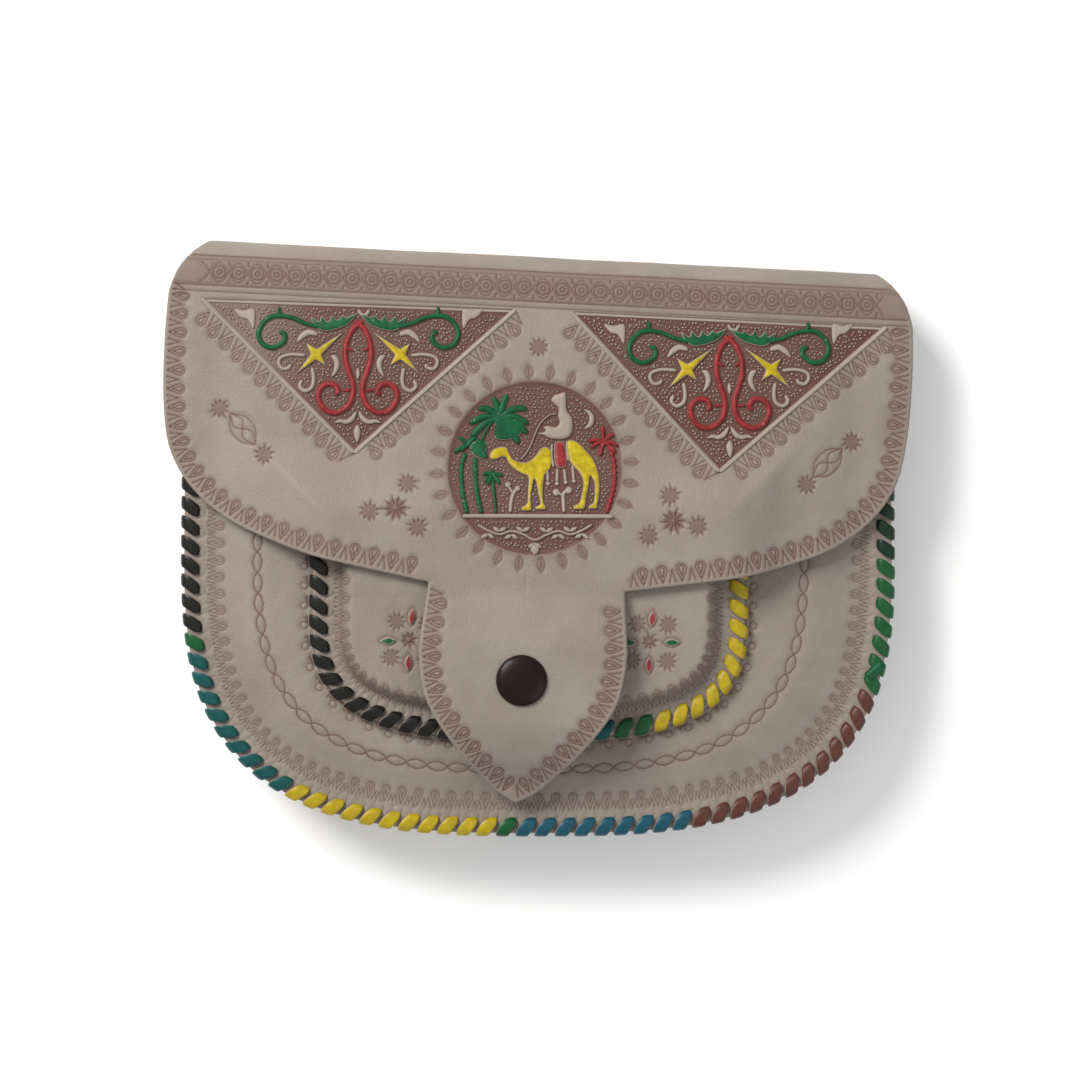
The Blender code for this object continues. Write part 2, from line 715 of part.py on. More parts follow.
def build():
    for obj in list(bpy.data.objects):
        bpy.data.objects.remove(obj)
    for home in (parts, cutters):
        bpy.context.scene.collection.children.link(home)
    low, high = -10 * MM, 80 * MM
    rim_count = stitch_count(BODY)
    pocket_count = stitch_count(POCKET)
    above_back = BACK_THICK + BACK_RIM_LIFT + GUSSET_THICK + 3 * MM
    rim_holes = prisms("rim_holes", BODY, HOLE_INSET, rim_count, 0, HOLE_RADIUS, above_back, high)
    pocket_holes = prisms("pocket_holes", POCKET, HOLE_INSET, pocket_count, 0, HOLE_RADIUS, low, high)
    slit = (LACE_THICK / 2 + GAP, LACE_WIDTH / 2 + GAP)
    slit_at = -GAP - LACE_THICK / 2
    pocket_slits = prisms(
        "pocket_slits", POCKET, slit_at, pocket_count, -STITCH_SLANT, slit, low, high, sides=4
    )
    seat = snap_holder("snap_seat")
    tongue_hole = snap_hole("tongue_hole", seat)

    hinge = bpy.data.objects.new("flap_hinge", None)
    hinge.location = (*flap_place(0.0, FOLD_RADIUS), FOLD_RADIUS)
    hinge.rotation_euler.z = -FOLD_LEAN
    parts.objects.link(hinge)

    build_back_stitches(build_back())
    build_front(rim_holes, pocket_holes, pocket_slits)
    build_gusset(rim_holes)
    build_pocket(pocket_holes, tongue_hole)
    build_fold()
    build_flap(hinge, tongue_hole)
    build_snap(seat, hinge)

    def rim_under(x, y):
        return rim_top(y) - FRONT_THICK - GAP - GUSSET_THICK

    def pocket_under(x, y):
        return front_top(x, y) - FRONT_THICK

    def pocket_edge_top(x, y):
        return front_top(x, y) + GAP + POCKET_THICK

    def rim_face(x, y):
        return rim_top(y)

    join = int(rim_count * LACE_JOIN)
    last = rim_count - 1
    whip_lace("rim_lace_long", BODY, rim_face, rim_under, 0, join, rim_count, TEAL)
    whip_lace("rim_lace_short", BODY, rim_face, rim_under, join + 1, last, rim_count, RED_BROWN)
    last = pocket_count - 1
    whip_lace("pocket_lace", POCKET, pocket_edge_top, pocket_under, 0, last, pocket_count, BLACK)
    rest_on_base()


build()
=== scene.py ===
"""Tooled leather flap bag, lying on its back under soft light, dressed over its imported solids."""

import math
import bmesh
import bpy
import numpy as np
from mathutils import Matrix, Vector, kdtree, noise
from mathutils.geometry import delaunay_2d_cdt


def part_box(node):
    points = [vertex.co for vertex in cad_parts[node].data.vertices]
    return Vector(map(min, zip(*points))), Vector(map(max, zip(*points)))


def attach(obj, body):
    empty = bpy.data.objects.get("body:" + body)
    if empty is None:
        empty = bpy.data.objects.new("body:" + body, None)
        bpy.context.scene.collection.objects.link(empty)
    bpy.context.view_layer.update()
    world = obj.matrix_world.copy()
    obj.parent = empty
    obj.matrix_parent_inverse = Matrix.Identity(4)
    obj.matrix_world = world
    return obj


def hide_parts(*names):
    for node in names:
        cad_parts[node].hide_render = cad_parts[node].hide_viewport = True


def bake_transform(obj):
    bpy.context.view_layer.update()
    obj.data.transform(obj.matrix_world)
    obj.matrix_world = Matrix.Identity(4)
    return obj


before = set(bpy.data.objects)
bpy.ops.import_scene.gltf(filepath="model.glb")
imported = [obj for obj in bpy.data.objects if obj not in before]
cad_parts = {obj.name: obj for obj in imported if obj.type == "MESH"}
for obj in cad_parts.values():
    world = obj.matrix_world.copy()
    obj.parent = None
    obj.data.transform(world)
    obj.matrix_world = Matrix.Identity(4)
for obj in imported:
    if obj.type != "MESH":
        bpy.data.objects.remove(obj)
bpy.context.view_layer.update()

# Floor, light and camera. The bag lies on a plain white sweep, lit by one large soft window at the upper left
# and a weak fill. The camera looks straight down from 0.8 m.
MM = 0.001
LENS_HEIGHT = 800.0
floor_mesh = bpy.data.meshes.new("floor")
floor_mesh.from_pydata([(-3, -3, 0), (3, -3, 0), (3, 3, 0), (-3, 3, 0)], [], [(0, 1, 2, 3)])
floor = bpy.data.objects.new("floor", floor_mesh)
bpy.context.scene.collection.objects.link(floor)
floor_paper = bpy.data.materials.new("white paper")
floor_paper.use_nodes = True
floor_paper.node_tree.nodes["Principled BSDF"].inputs["Base Color"].default_value = (0.93, 0.93, 0.93, 1)
floor_paper.node_tree.nodes["Principled BSDF"].inputs["Roughness"].default_value = 0.9
floor_mesh.materials.append(floor_paper)


def soft_light(name, place, size, power, colour):
    lamp = bpy.data.lights.new(name, "AREA")
    lamp.size = size
    lamp.energy = power
    lamp.color = colour
    obj = bpy.data.objects.new(name, lamp)
    obj.location = place
    obj.rotation_mode = "QUATERNION"
    obj.rotation_quaternion = (-Vector(place)).to_track_quat("-Z", "Y")
    bpy.context.scene.collection.objects.link(obj)


soft_light("window", (-0.75, 0.75, 0.95), 0.55, 21.0, (1.0, 0.98, 0.95))
soft_light("fill", (0.9, -0.6, 1.1), 1.2, 5.0, (0.95, 0.97, 1.0))
world = bpy.context.scene.world or bpy.data.worlds.new("world")
bpy.context.scene.world = world
world.use_nodes = True
world.node_tree.nodes["Background"].inputs["Color"].default_value = (1.0, 1.0, 1.0, 1)
world.node_tree.nodes["Background"].inputs["Strength"].default_value = 0.62
bpy.context.scene.view_settings.view_transform = "Standard"

lens = bpy.data.cameras.new("camera")
lens.sensor_width = 36.0
lens.lens = 85.9
camera = bpy.data.objects.new("camera", lens)
camera.location = (0.46 * MM, -1.38 * MM, LENS_HEIGHT * MM)
bpy.context.scene.collection.objects.link(camera)
bpy.context.scene.camera = camera


# Front panel: thick cream leather cut to a U, crowned over the body, its rim punched for the lacing. A row of
# loop stamps runs inside the lacing, a pressed chain inside that, and more loops show round the pocket.
def smooth(t):
    t = np.clip(t, 0.0, 1.0)
    return t * t * (3.0 - 2.0 * t)


def left_of(way):
    """A direction turned a quarter turn to the left."""
    return np.array([-way[1], way[0]])


def ring(points):
    """The points with the first one again at the end."""
    return np.concatenate([points, points[:1]])


class Line:
    """A line through points in millimetres, which gives places along it, set in to its left side."""

    def __init__(self, points):
        self.points = np.array(points, float)
        steps = np.hypot(*np.diff(self.points, axis=0).T)
        self.run = np.concatenate([[0.0], np.cumsum(steps)])
        self.length = self.run[-1]

    def on(self, s):
        return np.stack([np.interp(s, self.run, self.points[:, k]) for k in (0, 1)], -1)

    def inward(self, s, reach=0.8):
        s = np.clip(s, reach, self.length - reach)
        along = self.on(s + reach) - self.on(s - reach)
        along /= np.hypot(along[..., 0], along[..., 1])[..., None]
        return np.stack([-along[..., 1], along[..., 0]], -1)

    def at(self, s, depth=0.0):
        s = np.asarray(s, float)
        beyond = s - np.clip(s, 0.0, self.length)
        inward = self.inward(s)
        along = np.stack([inward[..., 1], -inward[..., 0]], -1)
        return self.on(s) + inward * np.asarray(depth)[..., None] + along * beyond[..., None]


class Rim(Line):
    """The U-shaped rim of a panel, run down its left side, along the bottom and up its right side."""

    def __init__(self, x, y, half_width, drop, rise, power=3.0):
        self.x, self.y, self.half_width, self.drop, self.power = x, y, half_width, drop, power
        angle = np.linspace(0.0, math.pi, 241)
        across = -np.sign(np.cos(angle)) * np.abs(np.cos(angle)) ** (2 / power)
        down = np.sin(angle).clip(0.0) ** (2 / power)
        xs = np.concatenate([[x - half_width], x + half_width * across, [x + half_width]])
        ys = np.concatenate([[y + rise], y - drop * down, [y + rise]])
        super().__init__(np.stack([xs, ys], 1))

    def inside(self, x, y):
        """Distance in from the rim, negative outside it."""
        n = self.power
        across = np.abs(x - self.x)
        down = np.maximum(self.y - y, 0.0)
        r = np.maximum(((across / self.half_width) ** n + (down / self.drop) ** n) ** (1 / n), 1e-4)
        slope_x = across ** (n - 1) / (self.half_width**n * r ** (n - 1))
        slope_y = down ** (n - 1) / (self.drop**n * r ** (n - 1))
        return (1.0 - r) / np.maximum(np.hypot(slope_x, slope_y), 1e-9)


MOUTH_RISE, BODY_HEIGHT = 48.0, 135.8
MOUTH_DEPTH, EXTRA_DEPTH = 14.0, 8.0
BODY = Rim(0.0, 0.0, 106.8, 87.8, MOUTH_RISE)
POCKET = Rim(-2.8, -20.8, 64.7, 38.1, 25.0)
PITCH = 5.9
SLANT = 0.45
CROSSING = 0.55
HOLE_INSET = 4.9
HOLE_RADIUS, HIDDEN_HOLE_RADIUS = 1.5, 1.3
RIM_FLAT = 8.2
BACK_LIFT = 1.6
BACK_THICK, FRONT_THICK, POCKET_THICK, GUSSET_THICK, FLAP_THICK = 2.6, 2.6, 2.4, 1.5, 2.8
GAP = 0.3
# The drawing's origin is the middle of the body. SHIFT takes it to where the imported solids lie.
pocket_low, pocket_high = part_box("pocket_panel")
SHIFT = np.array([
    (pocket_low.x + pocket_high.x) / 2 / MM - POCKET.x,
    pocket_low.y / MM - (POCKET.y - POCKET.drop),
    0.0,
])


def rim_top(y):
    """Height of the front panel's face at the lacing: the body is deeper at its bottom than at its mouth."""
    return BACK_THICK + MOUTH_DEPTH + (MOUTH_RISE - y) * EXTRA_DEPTH / BODY_HEIGHT + FRONT_THICK


def front_top(x, y):
    """Height of the front panel's face, crowned over the body and flatter towards the mouth."""
    crown = smooth((BODY.inside(x, y) - RIM_FLAT) / 16.0)
    return rim_top(y) + 3.0 * crown * smooth((75.6 - y) / 43.2)


def stitch_places(rim):
    """Distances of the punched holes along a rim."""
    count = int(rim.length / PITCH) - 1
    return rim.length / 2 + (np.arange(count) - (count - 1) / 2 + SLANT / 2) * PITCH


def resample(points, step):
    line = Line(points)
    count = max(int(round(line.length / step)), 1)
    return line.on(np.linspace(0.0, line.length, count + 1))


class Tooling:
    """The marks pressed or cut into one piece of leather: lines with a strength, in the piece's flat pattern."""

    def __init__(self):
        self.lines, self.spots = [], []

    def spot(self, centre, way, half_length, half_width, dye, sink):
        """An oval patch along way, pressed down and dyed."""
        self.spots.append((np.array(centre, float), np.array(way, float), half_length, half_width, dye, sink))

    def pressed(self, points):
        """How much the patches dye and sink each point."""
        dyed, sunk = np.zeros(len(points)), np.zeros(len(points))
        for centre, way, half_length, half_width, dye, sink in self.spots:
            off = points - centre
            share = np.hypot(off @ way / half_length, off @ left_of(way) / half_width)
            inside = smooth((1.1 - share) / 0.25)
            dyed = np.maximum(dyed, dye * inside)
            if sink > 0:
                sunk = np.maximum(sunk, sink * inside)
            else:
                sunk = sunk + sink * inside
        return dyed, sunk

    def add(self, points, strength=1.0):
        self.lines.append((np.array(points, float), strength))

    def row(self, line, first, last, pitch, drawing, strength=1.0):
        """Repeats a drawing of (along, depth) lines at an even pitch on a line."""
        count = max(int(round((last - first) / pitch)), 1)
        for i in range(count):
            centre = first + (i + 0.5) * (last - first) / count
            for part in drawing:
                part = resample(part, 0.4)
                self.add(line.at(centre + part[:, 0], part[:, 1]), strength)

    def mesh_points(self):
        """Points along the bottom and the two shoulders of each line."""
        found = []
        for points, _ in self.lines:
            fine = Line(resample(points, 0.5))
            found += [fine.points, fine.at(fine.run, -0.34), fine.at(fine.run, 0.34)]
        for centre, way, half_length, half_width, _, _ in self.spots:
            turn = np.linspace(0.0, 2 * math.pi, 18, endpoint=False)
            oval = np.outer(np.cos(turn) * half_length, way) + np.outer(np.sin(turn) * half_width, left_of(way))
            found += [centre + share * oval for share in (0.72, 0.94, 1.12)]
        return np.concatenate(found)

    def near(self, points):
        """Distance from each point to the nearest line, and that line's strength."""
        samples, strengths = [], []
        for line, strength in self.lines:
            fine = resample(line, 0.125)
            samples.append(fine)
            strengths += [strength] * len(fine)
        tree = tree_of(np.concatenate(samples))
        found = [tree.find((p[0], p[1], 0.0)) for p in points]
        return np.array([f[2] for f in found]), np.array([strengths[f[1]] for f in found])


def tree_of(samples):
    """A search tree over points of a flat pattern."""
    tree = kdtree.KDTree(len(samples))
    for i, p in enumerate(samples):
        tree.insert((p[0], p[1], 0.0), i)
    tree.balance()
    return tree


def distance_to(samples, points):
    tree = tree_of(samples)
    return np.array([tree.find((p[0], p[1], 0.0))[2] for p in points])


def triangulate(rims, inner):
    """Triangles between closed rims, the first of them the outline, with the given points between them."""
    points, edges = [], []
    for rim in rims:
        first = len(points)
        points += [Vector(p) for p in rim]
        edges += [(first + i, first + (i + 1) % len(rim)) for i in range(len(rim))]
    points += [Vector(p) for p in inner]
    verts, _, faces, sources, _, _ = delaunay_2d_cdt(points, edges, [], 2, 1e-5)
    place = {source: i for i, group in enumerate(sources) for source in group}
    loops, first = [], 0
    for rim in rims:
        loops.append([place[first + i] for i in range(len(rim))])
        first += len(rim)
    used, packed = np.unique(np.array(faces), return_inverse=True)
    position = {old: new for new, old in enumerate(used)}
    loops = [[position[i] for i in loop] for loop in loops]
    return np.array([(verts[i].x, verts[i].y) for i in used]), packed.reshape(-1, 3), loops


def honeycomb(outline, cell):
    low, high = outline.min(0), outline.max(0)
    rows = np.arange(low[1], high[1], cell * 0.866)
    grid = []
    for i, y in enumerate(rows):
        xs = np.arange(low[0] + (i % 2) * cell / 2, high[0], cell)
        grid.append(np.stack([xs, np.full(len(xs), y)], 1))
    return np.concatenate(grid)


def round_hole(x, y, radius, sides=8):
    turn = 2 * math.pi * np.arange(sides) / sides
    return np.stack([x + radius * np.cos(turn), y + radius * np.sin(turn)], 1)


def new_mesh(name, verts, faces, materials, slots=None, **fields):
    """A piece from points in millimetres of the body's own frame, with named values at its points."""
    mesh = bpy.data.meshes.new(name)
    placed = (np.array(verts) + SHIFT) * MM
    mesh.from_pydata(placed.tolist(), [], [tuple(int(i) for i in face) for face in faces])
    for made in materials:
        mesh.materials.append(made)
    if slots is not None:
        mesh.polygons.foreach_set("material_index", np.array(slots, np.int32))
    mesh.polygons.foreach_set("use_smooth", np.ones(len(mesh.polygons), bool))
    for field, values in fields.items():
        values = np.array(values, np.float32)
        kind = "FLOAT" if values.ndim == 1 else "FLOAT_VECTOR"
        mesh.attributes.new(field, kind, "POINT").data.foreach_set(
            "value" if values.ndim == 1 else "vector", values.ravel()
        )
    mesh.update()
    obj = bpy.data.objects.new(name, mesh)
    bpy.context.scene.collection.objects.link(obj)
    return obj


def tube_faces(rows, sides):
    """Faces of a closed tube, row by row, and of its two ends."""
    faces = []
    for a in range(0, (rows - 1) * sides, sides):
        b = a + sides
        for k in range(sides):
            j = (k + 1) % sides
            faces.append((a + k, b + k, b + j, a + j))
    faces.append(tuple(range(sides)))
    faces.append(tuple(range((rows - 1) * sides, rows * sides))[::-1])
    return faces


def facing_out(piece):
    """Turns every face of a closed piece outwards."""
    turned_mesh = bmesh.new()
    turned_mesh.from_mesh(piece.data)
    bmesh.ops.recalc_face_normals(turned_mesh, faces=turned_mesh.faces)
    turned_mesh.to_mesh(piece.data)
    turned_mesh.free()
    return piece


def swell_of(name, points):
    """The slow rise and fall of a piece of leather, from -1 to 1, the same for whatever is built on it."""
    return np.array([noise.noise((p[0] / 26.0, p[1] / 26.0, len(name))) for p in points])


SWAY, HIDE_SWAY = 0.25, 0.3
GROOVE_DEPTH, GROOVE_WIDTH, DYE_WIDTH = 0.34, 0.27, 0.25
BANK_HEIGHT, BANK_OFF, BANK_WIDTH = 0.10, 0.75, 0.34
FLESH_CELL = 5.0
EDGE_ROUND, EDGE_DROP = 0.8, 0.55
RIM_CLEARANCE, CLOSEST = 0.24, 0.16


def leather_piece(name, outline, holes, marks, place, thickness, materials, cell, extra=(),
                  stain=None, carve=None, sway=SWAY, crease=0.05):
    """A piece of leather from its flat pattern: tooled grain side, plain flesh side and rounded cut edge."""
    rims = [np.array(rim) for rim in (outline, *holes)]
    closed = [ring(rim) for rim in rims]
    edge = Line(closed[0])
    along_edge = np.arange(0.0, edge.length, 0.9)
    rings = [edge.at(along_edge, depth) for depth in (0.32, EDGE_ROUND)]
    collars = [round_hole(*rim.mean(0), np.hypot(*(rim - rim.mean(0)).T).max() + 0.35) for rim in rims[1:]]
    fixed = np.concatenate([marks.mesh_points(), *rings, *collars, *extra])
    rim_samples = np.concatenate([resample(c, 0.25) for c in closed])
    grid = honeycomb(rims[0], cell)
    grid = grid[distance_to(fixed, grid) > cell * 0.55]
    inner = np.concatenate([fixed, grid])
    inner = inner[distance_to(rim_samples, inner) > RIM_CLEARANCE]
    _, unique = np.unique(np.round(inner / CLOSEST), axis=0, return_index=True)
    inner = inner[np.sort(unique)]
    points, faces, loops = triangulate(rims, inner)
    apart, strength = marks.near(points)
    from_rim = distance_to(rim_samples, points)
    rounding = np.clip(1.0 - from_rim / EDGE_ROUND, 0.0, 1.0)
    wave = swell_of(name, points)
    across, along = points @ np.array([0.87, -0.5]), points @ np.array([0.5, 0.87])
    wrinkles = np.array([noise.noise((a / 2.7, b / 15.0, 7.0)) for a, b in zip(across, along)])
    pebble = np.array([noise.noise((p[0] / 3.1, p[1] / 3.1, 4.0)) for p in points])
    lift = -GROOVE_DEPTH * strength * np.exp(-((apart / GROOVE_WIDTH) ** 2))
    lift += BANK_HEIGHT * strength * np.exp(-(((apart - BANK_OFF) / BANK_WIDTH) ** 2))
    lift += sway * wave + 0.05 * pebble + crease * wrinkles * smooth(apart / 1.5)
    if carve:
        lift += carve(points)
    lift -= EDGE_DROP * (1.0 - np.sqrt(1.0 - rounding**2 * 0.98))
    dark = 0.85 * strength * np.exp(-((apart / DYE_WIDTH) ** 2))
    ground, sunk = marks.pressed(points)
    lift -= sunk
    if stain:
        ground = np.maximum(ground, stain(points))
    top = place(points, lift)

    back_inner = honeycomb(rims[0], FLESH_CELL)
    back_inner = back_inner[distance_to(rim_samples, back_inner) > FLESH_CELL * 0.4]
    back_points, back_faces, back_loops = triangulate(rims, back_inner)
    under = place(back_points, -thickness + sway * swell_of(name, back_points))

    verts = [top, under]
    back_flat = np.full(len(back_points), -thickness)
    flat = [np.column_stack([points, lift]), np.column_stack([back_points, back_flat])]
    all_faces = [tuple(f) for f in faces]
    slots = [0] * len(faces)
    all_faces += [tuple(i + len(top) for i in face[::-1]) for face in back_faces]
    slots += [1] * len(back_faces)
    stained = [np.clip(dark + ground * (1 - dark), 0, 1), np.full(len(under), 0.1)]
    worn = [rounding, np.zeros(len(under))]
    start = len(top) + len(under)
    for rim, loop, back_loop in zip(rims, loops, back_loops):
        verts.append(place(rim, -thickness * 0.55 + sway * swell_of(name, rim)))
        flat.append(np.column_stack([rim, np.full(len(rim), -thickness * 0.5)]))
        # Painted shade: the walls of the punched holes are dyed nearly full brown to stand for the shade inside
        # them. The outline's cut edge gets only a little stain.
        stained.append(np.full(len(rim), 0.12 if rim is rims[0] else 0.95))
        worn.append(np.ones(len(rim)))
        for i in range(len(rim)):
            j = (i + 1) % len(rim)
            all_faces.append((loop[j], loop[i], start + i, start + j))
            all_faces.append((start + j, start + i, back_loop[i] + len(top), back_loop[j] + len(top)))
            slots += [0, 0]
        start += len(rim)
    return new_mesh(
        name, np.concatenate(verts), all_faces, materials, slots,
        stain=np.concatenate(stained), edge_wear=np.concatenate(worn), flat=np.concatenate(flat) * MM,
    )


def group_of(name, inputs, outputs):
    """A shader group with named inputs and outputs, and its two end nodes."""
    tree = bpy.data.node_groups.new(name, "ShaderNodeTree")
    for label, kind, value in inputs:
        socket = tree.interface.new_socket(label, in_out="INPUT", socket_type=kind)
        if value is not None:
            socket.default_value = value
    for label, kind in outputs:
        tree.interface.new_socket(label, in_out="OUTPUT", socket_type=kind)
    return tree, tree.nodes.new("NodeGroupInput"), tree.nodes.new("NodeGroupOutput")


def maths(tree, operation, a, b, clamp=False):
    """A Math node on two sockets or numbers."""
    node = tree.nodes.new("ShaderNodeMath")
    node.operation = operation
    node.use_clamp = clamp
    for slot, value in ((0, a), (1, b)):
        if isinstance(value, (int, float)):
            node.inputs[slot].default_value = value
        else:
            tree.links.new(value, node.inputs[slot])
    return node.outputs[0]


def mixed(tree, factor, a, b):
    """A colour mix of sockets or plain colours."""
    node = tree.nodes.new("ShaderNodeMix")
    node.data_type = "RGBA"
    for slot, value in ((0, factor), (6, a), (7, b)):
        if isinstance(value, (int, float)):
            node.inputs[slot].default_value = value
        elif isinstance(value, tuple):
            node.inputs[slot].default_value = (*value, 1.0)
        else:
            tree.links.new(value, node.inputs[slot])
    return node.outputs[2]


def noise_of(tree, vector, scale, detail, roughness):
    node = tree.nodes.new("ShaderNodeTexNoise")
    node.inputs["Scale"].default_value = scale
    node.inputs["Detail"].default_value = detail
    node.inputs["Roughness"].default_value = roughness
    tree.links.new(vector, node.inputs["Vector"])
    return node.outputs["Fac"]


def ramped(tree, value, low, high):
    """Stretches low to high over 0 to 1."""
    node = tree.nodes.new("ShaderNodeMapRange")
    tree.links.new(value, node.inputs["Value"])
    node.inputs["From Min"].default_value = low
    node.inputs["From Max"].default_value = high
    return node.outputs["Result"]


def new_material(name):
    """A material, its node tree and its shader."""
    made = bpy.data.materials.new(name)
    made.use_nodes = True
    return made, made.node_tree, made.node_tree.nodes["Principled BSDF"]


def carried(tree, field, output="Fac"):
    """The values that a mesh carries under a name."""
    node = tree.nodes.new("ShaderNodeAttribute")
    node.attribute_name = field
    return node.outputs[output]


def roughen(tree, shader, height, strength, distance):
    node = tree.nodes.new("ShaderNodeBump")
    node.inputs["Strength"].default_value = strength
    node.inputs["Distance"].default_value = distance
    tree.links.new(height, node.inputs["Height"])
    tree.links.new(node.outputs["Normal"], shader.inputs["Normal"])


# Grain: pebbles about a millimetre across, finer pores and long soft creases, for every leather of the bag.
grain, grain_in, grain_out = group_of(
    "leather grain",
    [("Vector", "NodeSocketVector", None), ("Scale", "NodeSocketFloat", 1.0)],
    [("Height", "NodeSocketFloat"), ("Mottle", "NodeSocketFloat"), ("Pores", "NodeSocketFloat")],
)
spaced = grain.nodes.new("ShaderNodeVectorMath")
spaced.operation = "SCALE"
grain.links.new(grain_in.outputs["Vector"], spaced.inputs[0])
grain.links.new(grain_in.outputs["Scale"], spaced.inputs["Scale"])
cells = grain.nodes.new("ShaderNodeTexVoronoi")
cells.feature = "DISTANCE_TO_EDGE"
cells.inputs["Scale"].default_value = 820.0
grain.links.new(spaced.outputs[0], cells.inputs["Vector"])
pebbles = ramped(grain, cells.outputs["Distance"], 0.0, 0.32)
creases = noise_of(grain, spaced.outputs[0], 95.0, 4.0, 0.6)
pores = noise_of(grain, spaced.outputs[0], 2400.0, 2.0, 0.6)
height = maths(grain, "ADD", maths(grain, "MULTIPLY", pebbles, 0.35), maths(grain, "MULTIPLY", creases, 1.2))
height = maths(grain, "ADD", height, maths(grain, "MULTIPLY", pores, 0.25))
grain.links.new(height, grain_out.inputs["Height"])
grain.links.new(noise_of(grain, spaced.outputs[0], 28.0, 5.0, 0.62), grain_out.inputs["Mottle"])
grain.links.new(pebbles, grain_out.inputs["Pores"])


def leather_material(name, colour, dark, stain_colour, roughness=0.58, bump=0.34, scale=1.0):
    """Vegetable-tanned leather: mottled cream, brown dye left in its tooled hollows, darkened at cut edges. The same
    brown is painted as shade in and under the lace holes.
    """
    made, tree, shader = new_material(name)
    surface = tree.nodes.new("ShaderNodeGroup")
    surface.node_tree = grain
    surface.inputs["Scale"].default_value = scale
    tree.links.new(carried(tree, "flat", "Vector"), surface.inputs["Vector"])
    stained, worn = carried(tree, "stain"), carried(tree, "edge_wear")
    mottle = surface.outputs["Mottle"]
    base = mixed(tree, ramped(tree, mottle, 0.34, 0.68), dark, colour)
    pore_shade = maths(tree, "SUBTRACT", 1.0, surface.outputs["Pores"])
    base = mixed(tree, maths(tree, "MULTIPLY", pore_shade, 0.10), base, dark)
    patchy = maths(tree, "MULTIPLY", maths(tree, "SUBTRACT", mottle, 0.5), 0.35)
    uneven = maths(tree, "ADD", stained, patchy)
    amount = maths(tree, "MULTIPLY", uneven, ramped(tree, stained, 0.0, 0.12), clamp=True)
    base = mixed(tree, amount, base, stain_colour)
    base = mixed(tree, maths(tree, "MULTIPLY", worn, 0.12), base, dark)
    tree.links.new(base, shader.inputs["Base Color"])
    rough = maths(tree, "ADD", roughness - 0.1, maths(tree, "MULTIPLY", mottle, 0.2))
    tree.links.new(rough, shader.inputs["Roughness"])
    roughen(tree, shader, surface.outputs["Height"], bump, 0.0004)
    shader.inputs["Specular IOR Level"].default_value = 0.32
    return made


cream_leather = leather_material("cream leather", (0.255, 0.215, 0.18), (0.2, 0.163, 0.132),
                                 (0.085, 0.027, 0.018))
flesh_side = leather_material("flesh side", (0.27, 0.21, 0.15), (0.2, 0.15, 0.1), (0.13, 0.085, 0.06),
                              roughness=0.92, bump=0.6, scale=2.2)


def teardrop(width, length, base):
    """A loop stamp's outline: pointed at its base, round at its far end."""
    r = width / 2
    far = length - r
    opening = math.acos(min(r / far, 1.0))
    turn = np.linspace(-math.pi / 2 + opening, 1.5 * math.pi - opening, 11)
    arc = [(r * math.cos(t), base + far + r * math.sin(t)) for t in turn]
    return [(0.0, base), *arc, (0.0, base)]


def panel_outline(rim):
    side = rim.on(np.linspace(0.0, rim.length, int(rim.length / 0.9)))
    mouth = Line([side[-1], side[0]])
    return np.concatenate([side, mouth.on(np.linspace(0.0, mouth.length, int(mouth.length / 1.5)))[1:-1]])


front_marks = Tooling()
RIM_LOOP = [
    teardrop(2.7, 5.2, 7.0),
    teardrop(1.1, 2.5, 9.2),
    [(-2.75, 7.2), (-1.9, 9.6), (-1.35, 7.4)],
    [(1.35, 7.4), (1.9, 9.6), (2.4, 7.8)],
]
front_marks.row(BODY, 4.0, BODY.length - 4.0, 5.3, RIM_LOOP, 0.75)
chain_line = Rim(-2.2, 0.0, 82.2, 68.4, 40.0, power=3.1)
ALMOND = [
    [(-3.1, 0.0), (-2.0, 0.95), (0.0, 1.4), (2.0, 0.95), (3.1, 0.0)],
    [(-3.1, 0.0), (-2.0, -0.95), (0.0, -1.4), (2.0, -0.95), (3.1, 0.0)],
]
front_marks.row(chain_line, 0.0, chain_line.length, 6.2, ALMOND, 1.0)
POCKET_HEAD = [
    [(1.1 * math.cos(t), -2.7 + 1.15 * math.sin(t)) for t in np.linspace(0, 2 * math.pi, 12)],
    [(-2.9, -1.2), (-2.3, -2.6), (-1.8, -1.3)],
]
front_marks.row(POCKET, 3.0, POCKET.length - 3.0, PITCH, POCKET_HEAD, 0.8)

rim_stitches, pocket_stitches = stitch_places(BODY), stitch_places(POCKET)
rim_holes = [round_hole(*p, HOLE_RADIUS) for p in BODY.at(rim_stitches, HOLE_INSET)]
under_pocket = [round_hole(*p, HIDDEN_HOLE_RADIUS) for p in POCKET.at(pocket_stitches, HOLE_INSET)]
slits = []
for s in pocket_stitches - CROSSING * PITCH:
    centre = POCKET.at(s, -0.75)
    inward = POCKET.inward(s)
    along = np.array([inward[1], -inward[0]])
    slits.append([centre + inward * a + along * b for a, b in ((0.7, 1.7), (0.7, -1.7), (-0.7, -1.7), (-0.7, 1.7))])


def wound(corners):
    """The corners in anticlockwise order."""
    corners = np.array(corners)
    x, y = corners.T
    area = np.sum(x * np.roll(y, -1) - y * np.roll(x, -1))
    return corners if area > 0 else corners[::-1]


def front_place(p, lift):
    return np.column_stack([p, front_top(p[:, 0], p[:, 1]) + lift])


front_panel = leather_piece(
    "front_leather", panel_outline(BODY), [*rim_holes, *under_pocket, *[wound(s) for s in slits]], front_marks,
    front_place, FRONT_THICK, [cream_leather, flesh_side], cell=1.5, crease=0.16,
)
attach(front_panel, "body")
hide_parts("front_panel")

